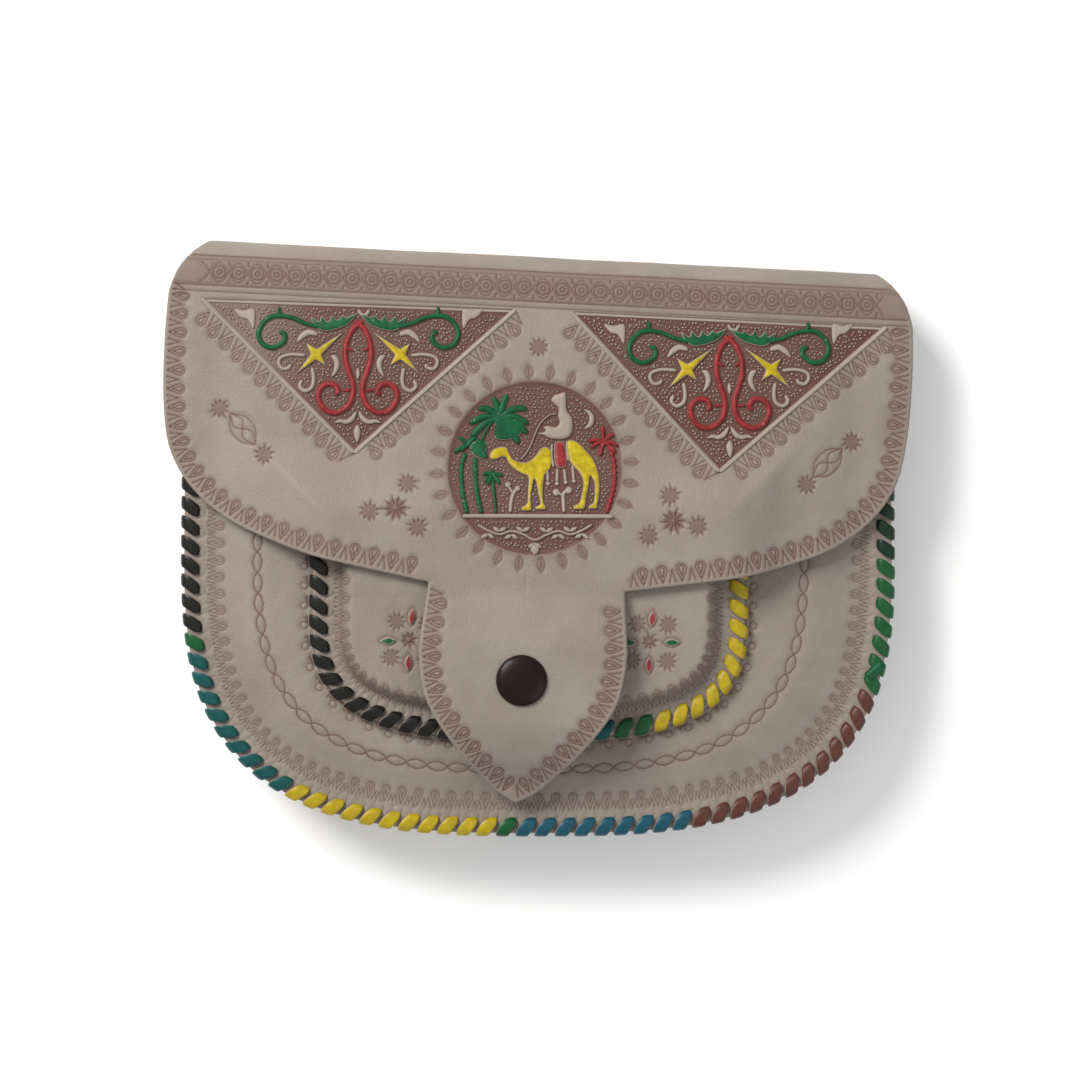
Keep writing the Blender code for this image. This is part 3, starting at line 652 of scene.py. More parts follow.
# Gusset: a strip of thinner leather all round the U, a channel whose two flanges lie under the laced rims. Its
# web bows inward and is soft enough to wrinkle.
def sweep(name, rim, places, section, materials):
    """A closed section carried along a rim. section(s, point) gives (depth, z) pairs."""
    verts, flat = [], []
    for s in places:
        corners = section(s, rim.on(s))
        for k, (depth, z) in enumerate(corners):
            x, y = rim.at(s, depth)
            verts.append((x, y, z))
            flat.append((s * MM, (depth + 2.0 * k) * MM, z * MM))
    # Painted shade: the flanges have no holes of their own, so under the front and back holes they are dyed full
    # dark brown to stand for the shade seen down the holes.
    painted_hole_shade = np.isin(np.arange(len(verts)) % len(corners), (1, 2, 12, 13))
    return new_mesh(name, verts, tube_faces(len(places), len(corners)), materials, flat=flat,
                    stain=np.where(painted_hole_shade, 1.0, 0.08), edge_wear=np.full(len(verts), 0.2))


def gusset_section(s, point):
    low = BACK_THICK + BACK_LIFT + GAP
    high = rim_top(point[1]) - FRONT_THICK - GAP
    middle = (low + high) / 2
    wrinkle = 0.55 * noise.noise((s / 7.0, 0.0, 2.0)) + 0.5 * noise.noise((s / 19.0, 3.0, 2.0))
    inner = [(0.0, low), (2.8, low), (6.8, low), (8.3, low), (9.3, low + 0.4), (9.7, low + 1.4),
             (10.4 + wrinkle, middle - 2.0), (10.7 + wrinkle, middle), (10.4 + wrinkle, middle + 2.0),
             (9.7, high - 1.4), (9.3, high - 0.4), (8.3, high), (6.8, high), (2.8, high), (0.0, high)]
    outer = [(0.0, high - 1.5), (4.0, high - 1.5), (7.4, high - 1.5), (8.1, high - 2.3),
             (8.9 + wrinkle, middle + 2.0), (9.2 + wrinkle, middle), (8.9 + wrinkle, middle - 2.0),
             (8.1, low + 2.3), (7.4, low + 1.5), (4.0, low + 1.5), (0.0, low + 1.5)]
    return inner + outer


gusset = sweep("gusset_leather", BODY, np.arange(0.0, BODY.length, 1.4), gusset_section, [cream_leather])
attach(gusset, "body")
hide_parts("gusset")


# Pocket: a crowned patch laced on by its rim. Inside the lacing runs a row of loop stamps, and a small spray of
# painted leaves and daisies sits on each side of the tongue.
def pocket_top(x, y):
    bulge = smooth((POCKET.inside(x, y) - 7.3) / 4.4)
    return front_top(x, y) + GAP + POCKET_THICK + 6.2 * bulge


CAP_SCALE, CAP_DISTANCE = 3.4, 758.0


def pocket_place(p, lift):
    return np.column_stack([p, pocket_top(p[:, 0], p[:, 1]) + lift])


def seen(px, py, z=31.0):
    """Where a point of the photograph lies on the bag at the height z, in millimetres."""
    scale = CAP_SCALE * CAP_DISTANCE / (LENS_HEIGHT - z)
    return np.array([(px - 540.0) / scale + 0.6, (540.0 - py) / scale])


def daisy(marks, centre, radius, petals=10, strength=1.0, turn=0.0, star=False):
    """A stamped daisy: a sunk disc with notched petals round its edge. A star has longer ones round a boss."""
    marks.spot(centre, (1.0, 0.0), radius * 0.88, radius * 0.88, 0.55 * strength, 0.2)
    if star:
        marks.spot(centre, (1.0, 0.0), 0.45, 0.45, 0.0, -0.3)
    start = 0.36 if star else 0.84
    for k in range(petals):
        angle = turn + 2 * math.pi * k / petals
        way = np.array([math.cos(angle), math.sin(angle)])
        marks.add([centre + way * radius * start, centre + way * radius * 0.97], strength)


def spline(points):
    """Twelve places on each stretch of a smooth curve that leaves out the first and last points."""
    t = np.linspace(0, 1, 12, endpoint=False)[:, None]
    out = []
    for a, b, c, d in zip(points, points[1:], points[2:], points[3:]):
        square, cube = 2 * a - 5 * b + 4 * c - d, 3 * b - a - 3 * c + d
        out.append(0.5 * (2 * b + (c - a) * t + square * t**2 + cube * t**3))
    return np.concatenate(out)


def curved(points, step=0.5):
    """A smooth line through the points, at an even step."""
    p = np.array(points, float)
    if len(p) < 3:
        return resample(p, step)
    ends = np.concatenate([[2 * p[0] - p[1]], p, [2 * p[-1] - p[-2]]])
    return resample(np.concatenate([spline(ends), p[-1:]]), step)


def closed_curve(points, step):
    p = np.array(points, float)
    return resample(ring(spline(np.concatenate([p[-2:], p, p[:1]]))), step)[:-1]


class Relief:
    """Raised work on tooled leather, over its flat pattern: strips, pads and dots, each with a colour."""

    def __init__(self):
        self.verts, self.faces, self.slots = [], [], []
        self.count = 0

    def push(self, verts, faces, slots):
        self.verts.append(np.array(verts, float))
        self.faces += [tuple(int(i) + self.count for i in face) for face in faces]
        self.slots += slots
        self.count += len(verts)

    def ridge(self, points, width, height, paint=0, start=0.3, end=0.3, swell=None):
        """A raised strip, rounded across, along a smooth line. It narrows to a share of its width at its ends."""
        line = curved(points, 0.45)
        path = Line(line)
        share = path.run / path.length
        inward = path.inward(path.run, 0.4)
        ends = np.clip(np.minimum(share * path.length, (1 - share) * path.length) / width, 0, 1)
        low = np.where(share < 0.5, start, end)
        half = width / 2 * (low + (1 - low) * np.sqrt(np.clip(1 - (1 - ends) ** 2, 0, 1)))
        if swell is not None:
            half = half * np.interp(share, np.linspace(0, 1, len(swell)), swell)
        section = [(-1.0, -0.5), (-0.88, 0.42), (-0.5, 0.86), (0.0, 1.0), (0.5, 0.86), (0.88, 0.42), (1.0, -0.5)]
        verts, faces, slots = [], [], []
        for k, point in enumerate(line):
            tall = height * min(1.0, half[k] / (width / 2) + 0.25)
            for across, up in section:
                place = point - inward[k] * across * half[k]
                verts.append((place[0], place[1], up * tall))
        n = len(section)
        for k in range(len(line) - 1):
            for i in range(n):
                j = (i + 1) % n
                faces.append((k * n + i, k * n + j, (k + 1) * n + j, (k + 1) * n + i))
                slots.append(paint if 0 < i < n - 2 else 0)
        faces.append(tuple(range(n))[::-1])
        faces.append(tuple(range((len(line) - 1) * n, len(line) * n)))
        self.push(verts, faces, slots + [0, 0])

    def pad(self, outline, height, paint=0, crown=0.8, smooth_edge=True):
        """A raised pad with a rounded shoulder inside any closed outline."""
        rim = closed_curve(outline, 0.42) if smooth_edge else resample([*outline, outline[0]], 0.42)[:-1]
        rim = wound(rim)
        samples = resample(ring(rim), 0.15)
        band = Line(ring(rim))
        shoulder = band.at(np.arange(0.0, band.length, 0.36), 0.26)
        shoulder = shoulder[distance_to(samples, shoulder) > 0.2]
        grid = honeycomb(rim, 0.5)
        grid = grid[distance_to(samples, grid) > 0.5]
        points, faces, loops = triangulate([rim], np.concatenate([shoulder, grid]))
        apart = distance_to(samples, points)
        lift = 0.1 + (height - 0.1) * np.sqrt(np.clip(1 - (1 - np.clip(apart / crown, 0, 1)) ** 2, 0, 1))
        verts = np.column_stack([points, lift]).tolist()
        on_rim = set(loops[0])
        slots = [0 if any(i in on_rim for i in face) else paint for face in faces]
        faces = [tuple(face) for face in faces]
        base = len(verts)
        verts += [(p[0], p[1], -0.4) for p in points[loops[0]]]
        for i in range(len(loops[0])):
            j = (i + 1) % len(loops[0])
            faces.append((loops[0][j], loops[0][i], base + i, base + j))
            slots.append(0)
        faces.append(tuple(range(base, len(verts)))[::-1])
        self.push(verts, faces, slots + [0])

    def dot(self, centre, radius, height, paint=0, sides=6):
        verts, faces = [], []
        for r, z in ((1.0, -0.15), (0.72, 0.75 * height)):
            for k in range(sides):
                angle = 2 * math.pi * k / sides
                verts.append((centre[0] + r * radius * math.cos(angle), centre[1] + r * radius * math.sin(angle), z))
        verts.append((centre[0], centre[1], height))
        for k in range(sides):
            j = (k + 1) % sides
            faces.append((k, j, sides + j, sides + k))
            faces.append((sides + k, sides + j, 2 * sides))
        faces.append(tuple(range(sides))[::-1])
        self.push(verts, faces, [paint] * len(faces))

    def stipple(self, outline_test, low, high, pitch, radius, height, seed, keep_off=0.55):
        """Fine punched-up dots over the ground, between the raised work that is already there."""
        taken = np.concatenate(self.verts)[:, :2]
        draw = np.random.default_rng(seed)
        grid = honeycomb(np.array([low, high]), pitch)
        grid += draw.uniform(-0.3 * pitch, 0.3 * pitch, grid.shape)
        grid = grid[outline_test(grid)]
        grid = grid[distance_to(taken, grid) > keep_off]
        for spot in grid:
            self.dot(spot, radius * draw.uniform(0.75, 1.2), height, sides=5)

    def build(self, name, place, materials):
        flat = np.concatenate(self.verts)
        verts = place(flat[:, :2], flat[:, 2])
        low = np.clip(0.4 - flat[:, 2] * 2.0, 0.0, 1.0)
        return new_mesh(name, verts, self.faces, materials, self.slots, flat=flat * MM, stain=low,
                        edge_wear=np.zeros(len(flat)))


def enamel(name, colour, worn):
    """Thick bright paint brushed on the raised leather: uneven, glossy, rubbed through in a few spots."""
    made, tree, shader = new_material(name)
    flat = carried(tree, "flat", "Vector")
    brushed = noise_of(tree, flat, 520.0, 3.0, 0.6)
    patches = noise_of(tree, flat, 900.0, 2.0, 0.5)
    deep = tuple(c * 0.62 for c in colour)
    base = mixed(tree, ramped(tree, brushed, 0.35, 0.65), deep, colour)
    base = mixed(tree, maths(tree, "MULTIPLY", ramped(tree, patches, 0.66, 0.74), 0.5), base, worn)
    tree.links.new(base, shader.inputs["Base Color"])
    rough = maths(tree, "ADD", 0.34, maths(tree, "MULTIPLY", brushed, 0.2))
    tree.links.new(rough, shader.inputs["Roughness"])
    roughen(tree, shader, brushed, 0.25, 0.0003)
    shader.inputs["Specular IOR Level"].default_value = 0.2
    return made


raised_cream = leather_material("raised leather", (0.3, 0.255, 0.212), (0.25, 0.205, 0.165), (0.1, 0.045, 0.034),
                                roughness=0.5, bump=0.12)
green_paint = enamel("green paint", (0.003, 0.088, 0.03), (0.2, 0.2, 0.13))
yellow_paint = enamel("yellow paint", (0.47, 0.35, 0.006), (0.35, 0.26, 0.1))
red_paint = enamel("red paint", (0.26, 0.022, 0.028), (0.42, 0.22, 0.2))
PAINTS = [raised_cream, green_paint, yellow_paint, red_paint]
CREAM, GREEN, YELLOW, RED = range(4)

pocket_marks = Tooling()
POCKET_LOOP = [
    teardrop(3.0, 5.0, 6.7),
    teardrop(1.3, 2.7, 8.5),
    [(-2.7, 6.7), (-2.0, 9.2), (-1.3, 6.9)],
    [(1.3, 6.9), (2.0, 9.2), (2.7, 6.7)],
]
pocket_marks.row(POCKET, 2.0, POCKET.length - 2.0, 5.5, POCKET_LOOP, 0.7)
pocket_relief = Relief()


def leaf_outline(centre, way, length, width):
    """A pointed leaf, pointing along way."""
    way = np.array(way, float) / np.hypot(*way)
    side = left_of(way)
    shape = [(-0.5, 0), (-0.25, 0.38), (0.05, 0.5), (0.3, 0.3), (0.5, 0), (0.3, -0.3), (0.05, -0.5), (-0.25, -0.38)]
    return [np.array(centre) + way * a * length + side * b * width for a, b in shape]


for px, py, side in ((410, 639, -1), (649, 641, 1)):
    heart = seen(px, py)
    daisy(pocket_marks, heart, 2.3, 8, 0.8, 0.2, star=True)
    for dx, dy, colour in ((0.8, 6.9, RED), (-0.2, -6.8, RED), (-6.2, -0.2, GREEN), (6.6, -0.1, GREEN)):
        leaf = leaf_outline(heart + (dx, dy), (dx, dy), 4.6, 2.0)
        pocket_relief.pad(leaf, 0.55, colour, 0.6)
        around = np.array(leaf_outline(heart + (dx, dy), (dx, dy), 6.0, 3.2))
        pocket_marks.add(ring(around), 0.7)
    for dx, dy in ((-3.6, 5.4), (-5.4, -5.2), (5.6, 5.0), (5.3, -5.8)):
        daisy(pocket_marks, heart + (dx, dy), 2.4, 10, 0.9)

pocket_holes = [round_hole(*p, HOLE_RADIUS) for p in POCKET.at(pocket_stitches, HOLE_INSET)]
pocket = leather_piece(
    "pocket_leather", panel_outline(POCKET), pocket_holes, pocket_marks, pocket_place, POCKET_THICK,
    [cream_leather, flesh_side], cell=1.2,
)
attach(pocket, "body")
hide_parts("pocket_panel")


def pocket_ground(p, lift):
    return pocket_place(p, lift + SWAY * swell_of("pocket_leather", p))


pocket_spray = pocket_relief.build("pocket_painted_leaves", pocket_ground, PAINTS)
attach(pocket_spray, "body")


# Hide: one piece of leather makes the back, folds over at the top and comes down as the flap and its tongue. It
# is cut flat, tooled, and bent round the fold. The flap's edges carry loop stamps, a lattice band runs along the
# fold, and two triangles and a disc are cut back and dyed brown.
FOLD_X, FOLD_Y, FOLD_RADIUS, FOLD_END = 1.7, 86.6, 11.0, 14.0
LEAN = math.radians(2.9)
FLAP_HALF, FLAP_DROP, TONGUE_HALF, TONGUE_LENGTH = 112.9, 100.5, 30.6, 64.5
BACK_START = 2 * FOLD_RADIUS - math.pi * FOLD_RADIUS
CARVE = 0.5
SNAP_V, CAP_RADIUS = 128.3, 7.5


def flap_xy(u, v):
    c, s = math.cos(LEAN), math.sin(LEAN)
    return FOLD_X + u * c - v * s, FOLD_Y - u * s - v * c


def flap_uv(x, y):
    c, s = math.cos(LEAN), math.sin(LEAN)
    dx, dy = x - FOLD_X, y - FOLD_Y
    return dx * c - dy * s, -dx * s - dy * c


def flap_top(x, y):
    """Height of the flap's face: up over the pocket, tented at the tongue's root, lower again at its tip."""
    v = flap_uv(x, y)[1]
    into_pocket = np.minimum(POCKET.inside(x, y), POCKET.y + 25.0 - y + 8.0)
    climb = 2.7 * smooth((into_pocket + 20.0) / 16.0) + 5.0 * smooth((into_pocket + 14.0) / 20.0)
    tented = smooth((v - FLAP_DROP) / 18.0)
    settled = smooth((v - SNAP_V - CAP_RADIUS) / 25.0)
    lying = front_top(x, y) + 1.6 + climb + 4.1 * tented * (1 - 0.6 * settled)
    bend_end = 2 * FOLD_RADIUS - FLAP_THICK
    return bend_end + (lying - bend_end) * smooth((v - FOLD_END) / 15.0) + FLAP_THICK


def back_height(x, y):
    """Height of the back's outer face, which turns up to its laced rim."""
    lifted = 1.0 - smooth((BODY.inside(x, y) - RIM_FLAT) / 4.5)
    return BACK_LIFT * lifted * smooth((58.0 - y) / 10.0)


def hide_place(p, lift):
    """Bends the flat hide: flap above, half a turn at the fold, back below. The pattern's y runs up to the back."""
    u, t = p[:, 0], -p[:, 1]
    lift = np.broadcast_to(lift, t.shape)
    angle = np.clip((FOLD_RADIUS - t) / FOLD_RADIUS, 0.0, math.pi)
    v = np.where(t > FOLD_RADIUS, t, FOLD_RADIUS - (FOLD_RADIUS + lift) * np.sin(angle))
    v = np.where(angle >= math.pi, BACK_START - t, v)
    x, y = flap_xy(u, v)
    z = np.where(t > FOLD_RADIUS, flap_top(x, y) + lift, FOLD_RADIUS + (FOLD_RADIUS + lift) * np.cos(angle))
    z = np.where(angle >= math.pi, back_height(x, y) - lift, z)
    return np.column_stack([x, y, z])


def half_width_at(v):
    return 102.0 + 10.9 * (1.0 - (1.0 - np.minimum(v / 24.0, 1.0)) ** 2.5)


flap_side = curved([
    (half_width_at(FOLD_END), FOLD_END), (half_width_at(0.18 * FLAP_DROP), 0.18 * FLAP_DROP),
    *[(across * FLAP_HALF, down * FLAP_DROP) for across, down in (
        (1.0, 0.32), (0.995, 0.48), (0.978, 0.61), (0.948, 0.69), (0.905, 0.755), (0.85, 0.81), (0.775, 0.86),
        (0.67, 0.905), (0.565, 0.94), (0.47, 0.96), (0.365, 0.98),
    )],
    (0.95 * TONGUE_HALF, FLAP_DROP),
], 0.7)
tongue_side = curved([(across * TONGUE_HALF, FLAP_DROP + down * TONGUE_LENGTH) for across, down in (
    (0.95, 0.0), (0.98, 0.16), (1.0, 0.3), (0.97, 0.43), (0.91, 0.53), (0.79, 0.63), (0.6, 0.75), (0.39, 0.86),
    (0.19, 0.95), (0.0, 1.0),
)], 0.7)
fold_turn = np.linspace(0.0, math.pi, 40)
fold_side = np.column_stack([
    half_width_at(FOLD_RADIUS * (1 - np.sin(fold_turn))), FOLD_RADIUS - FOLD_RADIUS * fold_turn
])
back_right = np.column_stack(flap_uv(*BODY.on(np.linspace(BODY.length, BODY.length / 2, 190)).T))
back_left = np.column_stack(flap_uv(*BODY.on(np.linspace(BODY.length / 2, 0.0, 190)).T))
shoulder = []
for corner, side in ((back_right[0], 1), (back_left[-1], -1)):
    run = []
    for share in np.linspace(0.12, 0.95, 14):
        wide = half_width_at(FOLD_END) + (abs(corner[0]) - half_width_at(FOLD_END)) * share**0.8
        run.append((side * wide, FOLD_END + (corner[1] - FOLD_END) * share**1.3))
    shoulder.append(np.array(run))


def flat_back(points):
    return np.column_stack([points[:, 0], -(BACK_START - points[:, 1])])


def up(points):
    """Down the flap to up the pattern."""
    return np.column_stack([points[:, 0], -points[:, 1]])


def mirrored(points):
    return np.column_stack([-points[:, 0], points[:, 1]])


right = np.concatenate([up(tongue_side[::-1][:-1]), up(flap_side[::-1]), up(fold_side), flat_back(shoulder[0])])
left_front = np.concatenate([
    mirrored(up(fold_side[::-1])), mirrored(up(flap_side[:-1])), mirrored(up(tongue_side[:-1])),
])
hide_outline = np.concatenate([
    right, flat_back(back_right), flat_back(back_left[1:]), flat_back(shoulder[1][::-1]), left_front,
])
keep = np.hypot(*(hide_outline - np.roll(hide_outline, 1, 0)).T) > 0.2
hide_outline = hide_outline[keep]

hide_marks = Tooling()
FLAP_LOOP = [
    teardrop(3.1, 5.2, 1.3),
    teardrop(1.5, 3.0, 2.9),
    [(-2.85 - 1.0, 1.2), (-2.85, 4.7), (-2.85 + 1.0, 1.2)],
]
tongue_right, hem_right = Line(up(tongue_side[::-1])), Line(up(flap_side[::-1]))
hem_left, tongue_left = Line(mirrored(up(flap_side))), Line(mirrored(up(tongue_side)))
for line, before, after, pitch in ((tongue_right, 2.5, 3.0, 5.6), (tongue_left, 3.0, 2.5, 5.6),
                                   (hem_right, 3.0, 1.0, 5.7), (hem_left, 1.0, 3.0, 5.7)):
    hide_marks.row(line, before, line.length - after, pitch, FLAP_LOOP)
TRIANGLES = [
    np.array([(-102.3, -18.7), (-53.6, -63.1), (-7.7, -17.3)]),
    np.array([(9.1, -17.0), (55.8, -63.3), (104.4, -16.9)]),
]
for corners in TRIANGLES:
    for side in (Line([corners[1], corners[0]]), Line([corners[2], corners[1]])):
        hide_marks.row(side, 1.5, side.length - 2.0, 5.4, FLAP_LOOP, 0.95)

for v, strength in ((5.0, 1.0), (6.6, 0.5), (14.6, 0.9), (16.4, 0.8)):
    reach = float(half_width_at(v)) - 1.2
    hide_marks.add([(-reach, -v), (reach, -v)], strength)
LATTICE, BAND_MIDDLE = 5.76, -10.5
circles = np.arange(-17, 18) * LATTICE + 0.5
turns = np.linspace(0, 2 * math.pi, 15)
for u in circles:
    for radius in (1.95, 0.75):
        hide_marks.add([(u + radius * math.cos(a), BAND_MIDDLE + radius * math.sin(a)) for a in turns], 0.9)
    for side in (-1, 1):
        hide_marks.add([(u + LATTICE / 2, BAND_MIDDLE + side * reach) for reach in (2.9, 3.5)], 0.9)
across = np.arange(-103.0, 103.1, 0.6)
for sign in (-1, 1):
    wave = BAND_MIDDLE + sign * 3.1 * np.cos(math.pi * (across - 0.5) / LATTICE)
    hide_marks.add(np.column_stack([across, wave]), 0.75)

MEDALLION = np.array([0.7, -64.9])
DISC = 26.0
LEAF_RING = 29.0
for k in range(28):
    angle = 2 * math.pi * (k + 0.5) / 28
    way = np.array([math.cos(angle), math.sin(angle)])
    leaf = np.array(leaf_outline(MEDALLION + way * LEAF_RING, way, 4.9, 2.6))
    hide_marks.add(ring(leaf), 0.7)
    hide_marks.add([MEDALLION + way * 27.4, MEDALLION + way * 30.4], 0.5)
    hide_marks.spot(MEDALLION + way * LEAF_RING, way, 2.1, 1.0, 0.42, 0.16)


def on_flap(px, py, z=31.0):
    u, v = flap_uv(*seen(px, py, z))
    return np.array([u, -v])


for px, py in ((217, 407), (263, 454), (408, 483), (371, 511), (419, 527), (539, 345), (670, 495), (697, 526),
               (648, 536), (854, 441), (808, 484)):
    daisy(hide_marks, on_flap(px, py), 2.6, 10, 1.0, 0.3)
for px, py in ((397, 508), (673, 521)):
    daisy(hide_marks, on_flap(px, py), 3.4, 10, 1.0, 0.1, star=True)
for px, py, turn in ((241, 428, -0.82), (829, 462, 0.82)):
    centre = on_flap(px, py)
    way = np.array([math.cos(turn), math.sin(turn)])
    side = left_of(way)
    for bow in (3.3, -3.3):
        hide_marks.add(curved([centre - way * 6.2, centre + side * bow * 0.8 - way * 3.0, centre + side * bow,
                               centre + side * bow * 0.8 + way * 3.0, centre + way * 6.2]), 0.9)
    for bow in (1.6, -1.6):
        hide_marks.add(curved([centre - way * 5.6 + side * bow * 0.2, centre - way * 2.0 + side * bow,
                               centre + way * 2.0 - side * bow, centre + way * 5.6 - side * bow * 0.2]), 0.9)
hide_marks.add([on_flap(526, 572), on_flap(525, 592)], 0.25)
hide_marks.add([on_flap(378, 470), on_flap(372, 545)], 0.12)

back_holes = []
for p in BODY.at(rim_stitches, HOLE_INSET):
    u, v = flap_uv(*p)
    back_holes.append(wound(round_hole(u, -(BACK_START - v), HIDDEN_HOLE_RADIUS)))


def triangle_depth(p, corners):
    """How far inside a triangle each point lies, negative outside."""
    inside = np.full(len(p), 99.0)
    for a, b in zip(corners, np.roll(corners, -1, 0)):
        inside = np.minimum(inside, (p - a) @ left_of((b - a) / np.hypot(*(b - a))))
    return inside


def cut_back(p):
    """1 on the floor of the triangles and the disc, 0 outside them."""
    deepest = DISC - np.hypot(*(p - MEDALLION).T)
    for corners in TRIANGLES:
        deepest = np.maximum(deepest, triangle_depth(p, corners))
    return smooth(deepest / 0.5 + 0.5)


def hide_carve(p):
    return -CARVE * cut_back(p)


hems = (tongue_right, tongue_left, hem_right, hem_left)
hem_samples = np.concatenate([resample(line.points, 0.5) for line in hems])


def hide_stain(p):
    on_front = p[:, 1] < 0.0
    faded = 0.55 + 0.45 * smooth((p[:, 0] + 88.0) / 26.0)
    fields = 0.9 * faded * cut_back(p)
    beyond = np.hypot(*(p - MEDALLION).T) - DISC
    fields = np.maximum(fields, 0.34 * smooth((1.9 - beyond) / 1.6))
    band = 0.30 * ((p[:, 1] < -5.0) & (p[:, 1] > -14.6))
    hem = 0.09 * smooth(1.6 - distance_to(hem_samples, p) / 4.6)
    return np.where(on_front, np.maximum(np.maximum(fields, band), hem), 0.0)


field_edges = []
for depth in (-0.3, 0.0, 0.3):
    turn = np.linspace(0, 2 * math.pi, 300, endpoint=False)
    field_edges.append(MEDALLION + (DISC - depth) * np.column_stack([np.cos(turn), np.sin(turn)]))
    for corners in TRIANGLES:
        for a, b in zip(corners, np.roll(corners, -1, 0)):
            side = Line([a, b])
            field_edges.append(side.at(np.arange(1.0, side.length - 1.0, 0.6), depth))

hide = leather_piece(
    "hide_leather", hide_outline, back_holes, hide_marks, hide_place, FLAP_THICK, [cream_leather, flesh_side],
    cell=1.35, extra=field_edges, stain=hide_stain, carve=hide_carve, sway=HIDE_SWAY,
)
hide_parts("back_panel", "flap_fold", "flap")
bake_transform(hide)


# Raised work on the flap, all part of the same leather: half-round frames round both triangles, scrolls and
# daggers inside them, and the desert scene in the disc. It is painted green, yellow and red, or left cream.
def flap_ground(p, lift):
    return hide_place(p, lift + hide_carve(p) + HIDE_SWAY * swell_of("hide_leather", p))


def drawn(points, origin, unit, centre):
    """Points of a drawing, x right and y down in its own units, as places in the hide's flat pattern."""
    x, y = (np.array(points, float) - origin).T / unit
    c, s = math.cos(LEAN), math.sin(LEAN)
    return np.column_stack([centre[0] + x * c + y * s, centre[1] + x * s - y * c])


def dagger(tip, end, arm_a, arm_b, waist):
    """A four-pointed dagger outline from its tips."""
    tip, end, arm_a, arm_b = (np.array(p, float) for p in (tip, end, arm_a, arm_b))
    middle = (arm_a + arm_b) / 2
    corners = []
    tips = [tip, arm_a, end, arm_b]
    for a, b in zip(tips, [*tips[1:], tips[0]]):
        bisector = (a - middle) / np.hypot(*(a - middle)) + (b - middle) / np.hypot(*(b - middle))
        corners += [a, middle + bisector / np.hypot(*bisector) * waist]
    return corners


DRAWING_MIDDLE = 1172.0


def flip(points):
    """The mirror image of a drawing about the triangle's middle line."""
    return [(2 * DRAWING_MIDDLE - x, y) for x, y in points]


# Half of what fills a triangle: what makes each piece, its points in the drawing, and its width, height and paint.
HALF_DRAWING = [
    (Relief.ridge, [(700, 442), (775, 460), (850, 492), (950, 515)], 1.5, 0.95, GREEN, 0.9, 0.9),
    (Relief.ridge, [(705, 443), (640, 450), (585, 495), (562, 560), (590, 620), (655, 642), (715, 605),
     (722, 560), (690, 542)], 1.7, 0.95, GREEN, 0.9, 0.5),
    (Relief.ridge, [(700, 448), (685, 420), (688, 388)], 1.3, 0.9, GREEN, 0.9, 0.2),
    (Relief.pad, [(900, 498), (880, 450), (930, 480), (945, 445), (985, 480), (1010, 440), (1040, 470),
     (1075, 440), (1095, 455), (1160, 432), (1110, 495), (1030, 530), (950, 538)], 0.95, GREEN, 0.7),
    (Relief.ridge, [(1196, 478), (1135, 530), (1098, 620), (1095, 710), (1118, 790), (1140, 860), (1142, 930),
     (1112, 1000), (1050, 1040), (985, 1030), (940, 975), (935, 915), (970, 870), (1025, 868), (1052, 905),
     (1035, 935)], 1.8, 1.0, RED, 0.7, 0.5),
    (Relief.ridge, [(1100, 640), (1140, 662)], 0.9, 0.8, RED),
    (Relief.ridge, [(1075, 905), (1130, 905)], 0.9, 0.7, RED),
    (Relief.pad, dagger((1082, 545), (798, 802), (852, 612), (978, 755), 34.0), 1.0, YELLOW, 0.8, False),
    (Relief.ridge, [(850, 690), (770, 684), (705, 700), (688, 735), (712, 772), (750, 765), (760, 742)], 1.2,
     0.8, CREAM, 0.4, 0.5),
    (Relief.ridge, [(892, 765), (902, 830), (892, 885), (850, 908), (818, 880), (832, 842)], 1.3, 0.8, CREAM,
     0.4, 0.5),
    (Relief.pad, [(1005, 690), (1040, 692), (1060, 735), (1050, 785), (1010, 825), (1025, 770), (1025, 730)],
     0.8, CREAM, 0.7),
    (Relief.pad, [(795, 612), (815, 560), (865, 528), (915, 545), (918, 570), (870, 566), (830, 590)], 0.8,
     CREAM, 0.7),
    (Relief.pad, [(1030, 1105), (1060, 1082), (1110, 1082), (1166, 1030), (1152, 1085), (1110, 1112),
     (1065, 1105)], 0.8, CREAM, 0.6),
    (Relief.pad, [(410, 402), (470, 412), (530, 402), (540, 455), (530, 525), (495, 470), (450, 455)], 0.6,
     CREAM, 0.7),
]
for corners, side_name in zip(TRIANGLES, ("left", "right")):
    relief = Relief()
    centre = np.array([(corners[0][0] + corners[2][0]) / 2, (corners[0][1] + corners[2][1]) / 2])

    def art(points):
        return drawn(points, (DRAWING_MIDDLE, 372.0), 20.26, centre)

    for a, b in ((corners[0], corners[1]), (corners[1], corners[2])):
        relief.ridge([a, b], 1.5, 0.62, CREAM, 0.6, 0.6)
    relief.ridge([corners[0] + (1, -0.6), corners[2] + (-1, -0.6)], 0.9, 0.3, CREAM, 0.6, 0.6)
    for turned_over in (False, True):
        for make, points, *look in HALF_DRAWING:
            make(relief, art(flip(points) if turned_over else points), *look)
    relief.pad(art([(1172, 1115), (1192, 1160), (1172, 1225), (1148, 1160)]), 0.9, CREAM, 0.6)
    relief.pad(art([(1172, 762), (1184, 800), (1172, 840), (1160, 800)]), 0.7, CREAM, 0.5)
    relief.ridge(art([(1168, 405), (1185, 432), (1215, 440), (1240, 405)]), 1.2, 0.8, CREAM, 0.3, 0.3)

    def within(p, corners=corners):
        return triangle_depth(p, corners) > 1.6

    relief.stipple(within, corners.min(0), corners.max(0), 1.25, 0.38, 0.54, 5)
    frame_work = relief.build(f"flap_triangle_{side_name}", flap_ground, PAINTS)
    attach(frame_work, "flap")

scene_relief = Relief()


def sight(points):
    return drawn(points, (791.0, 804.0), 22.97, MEDALLION)


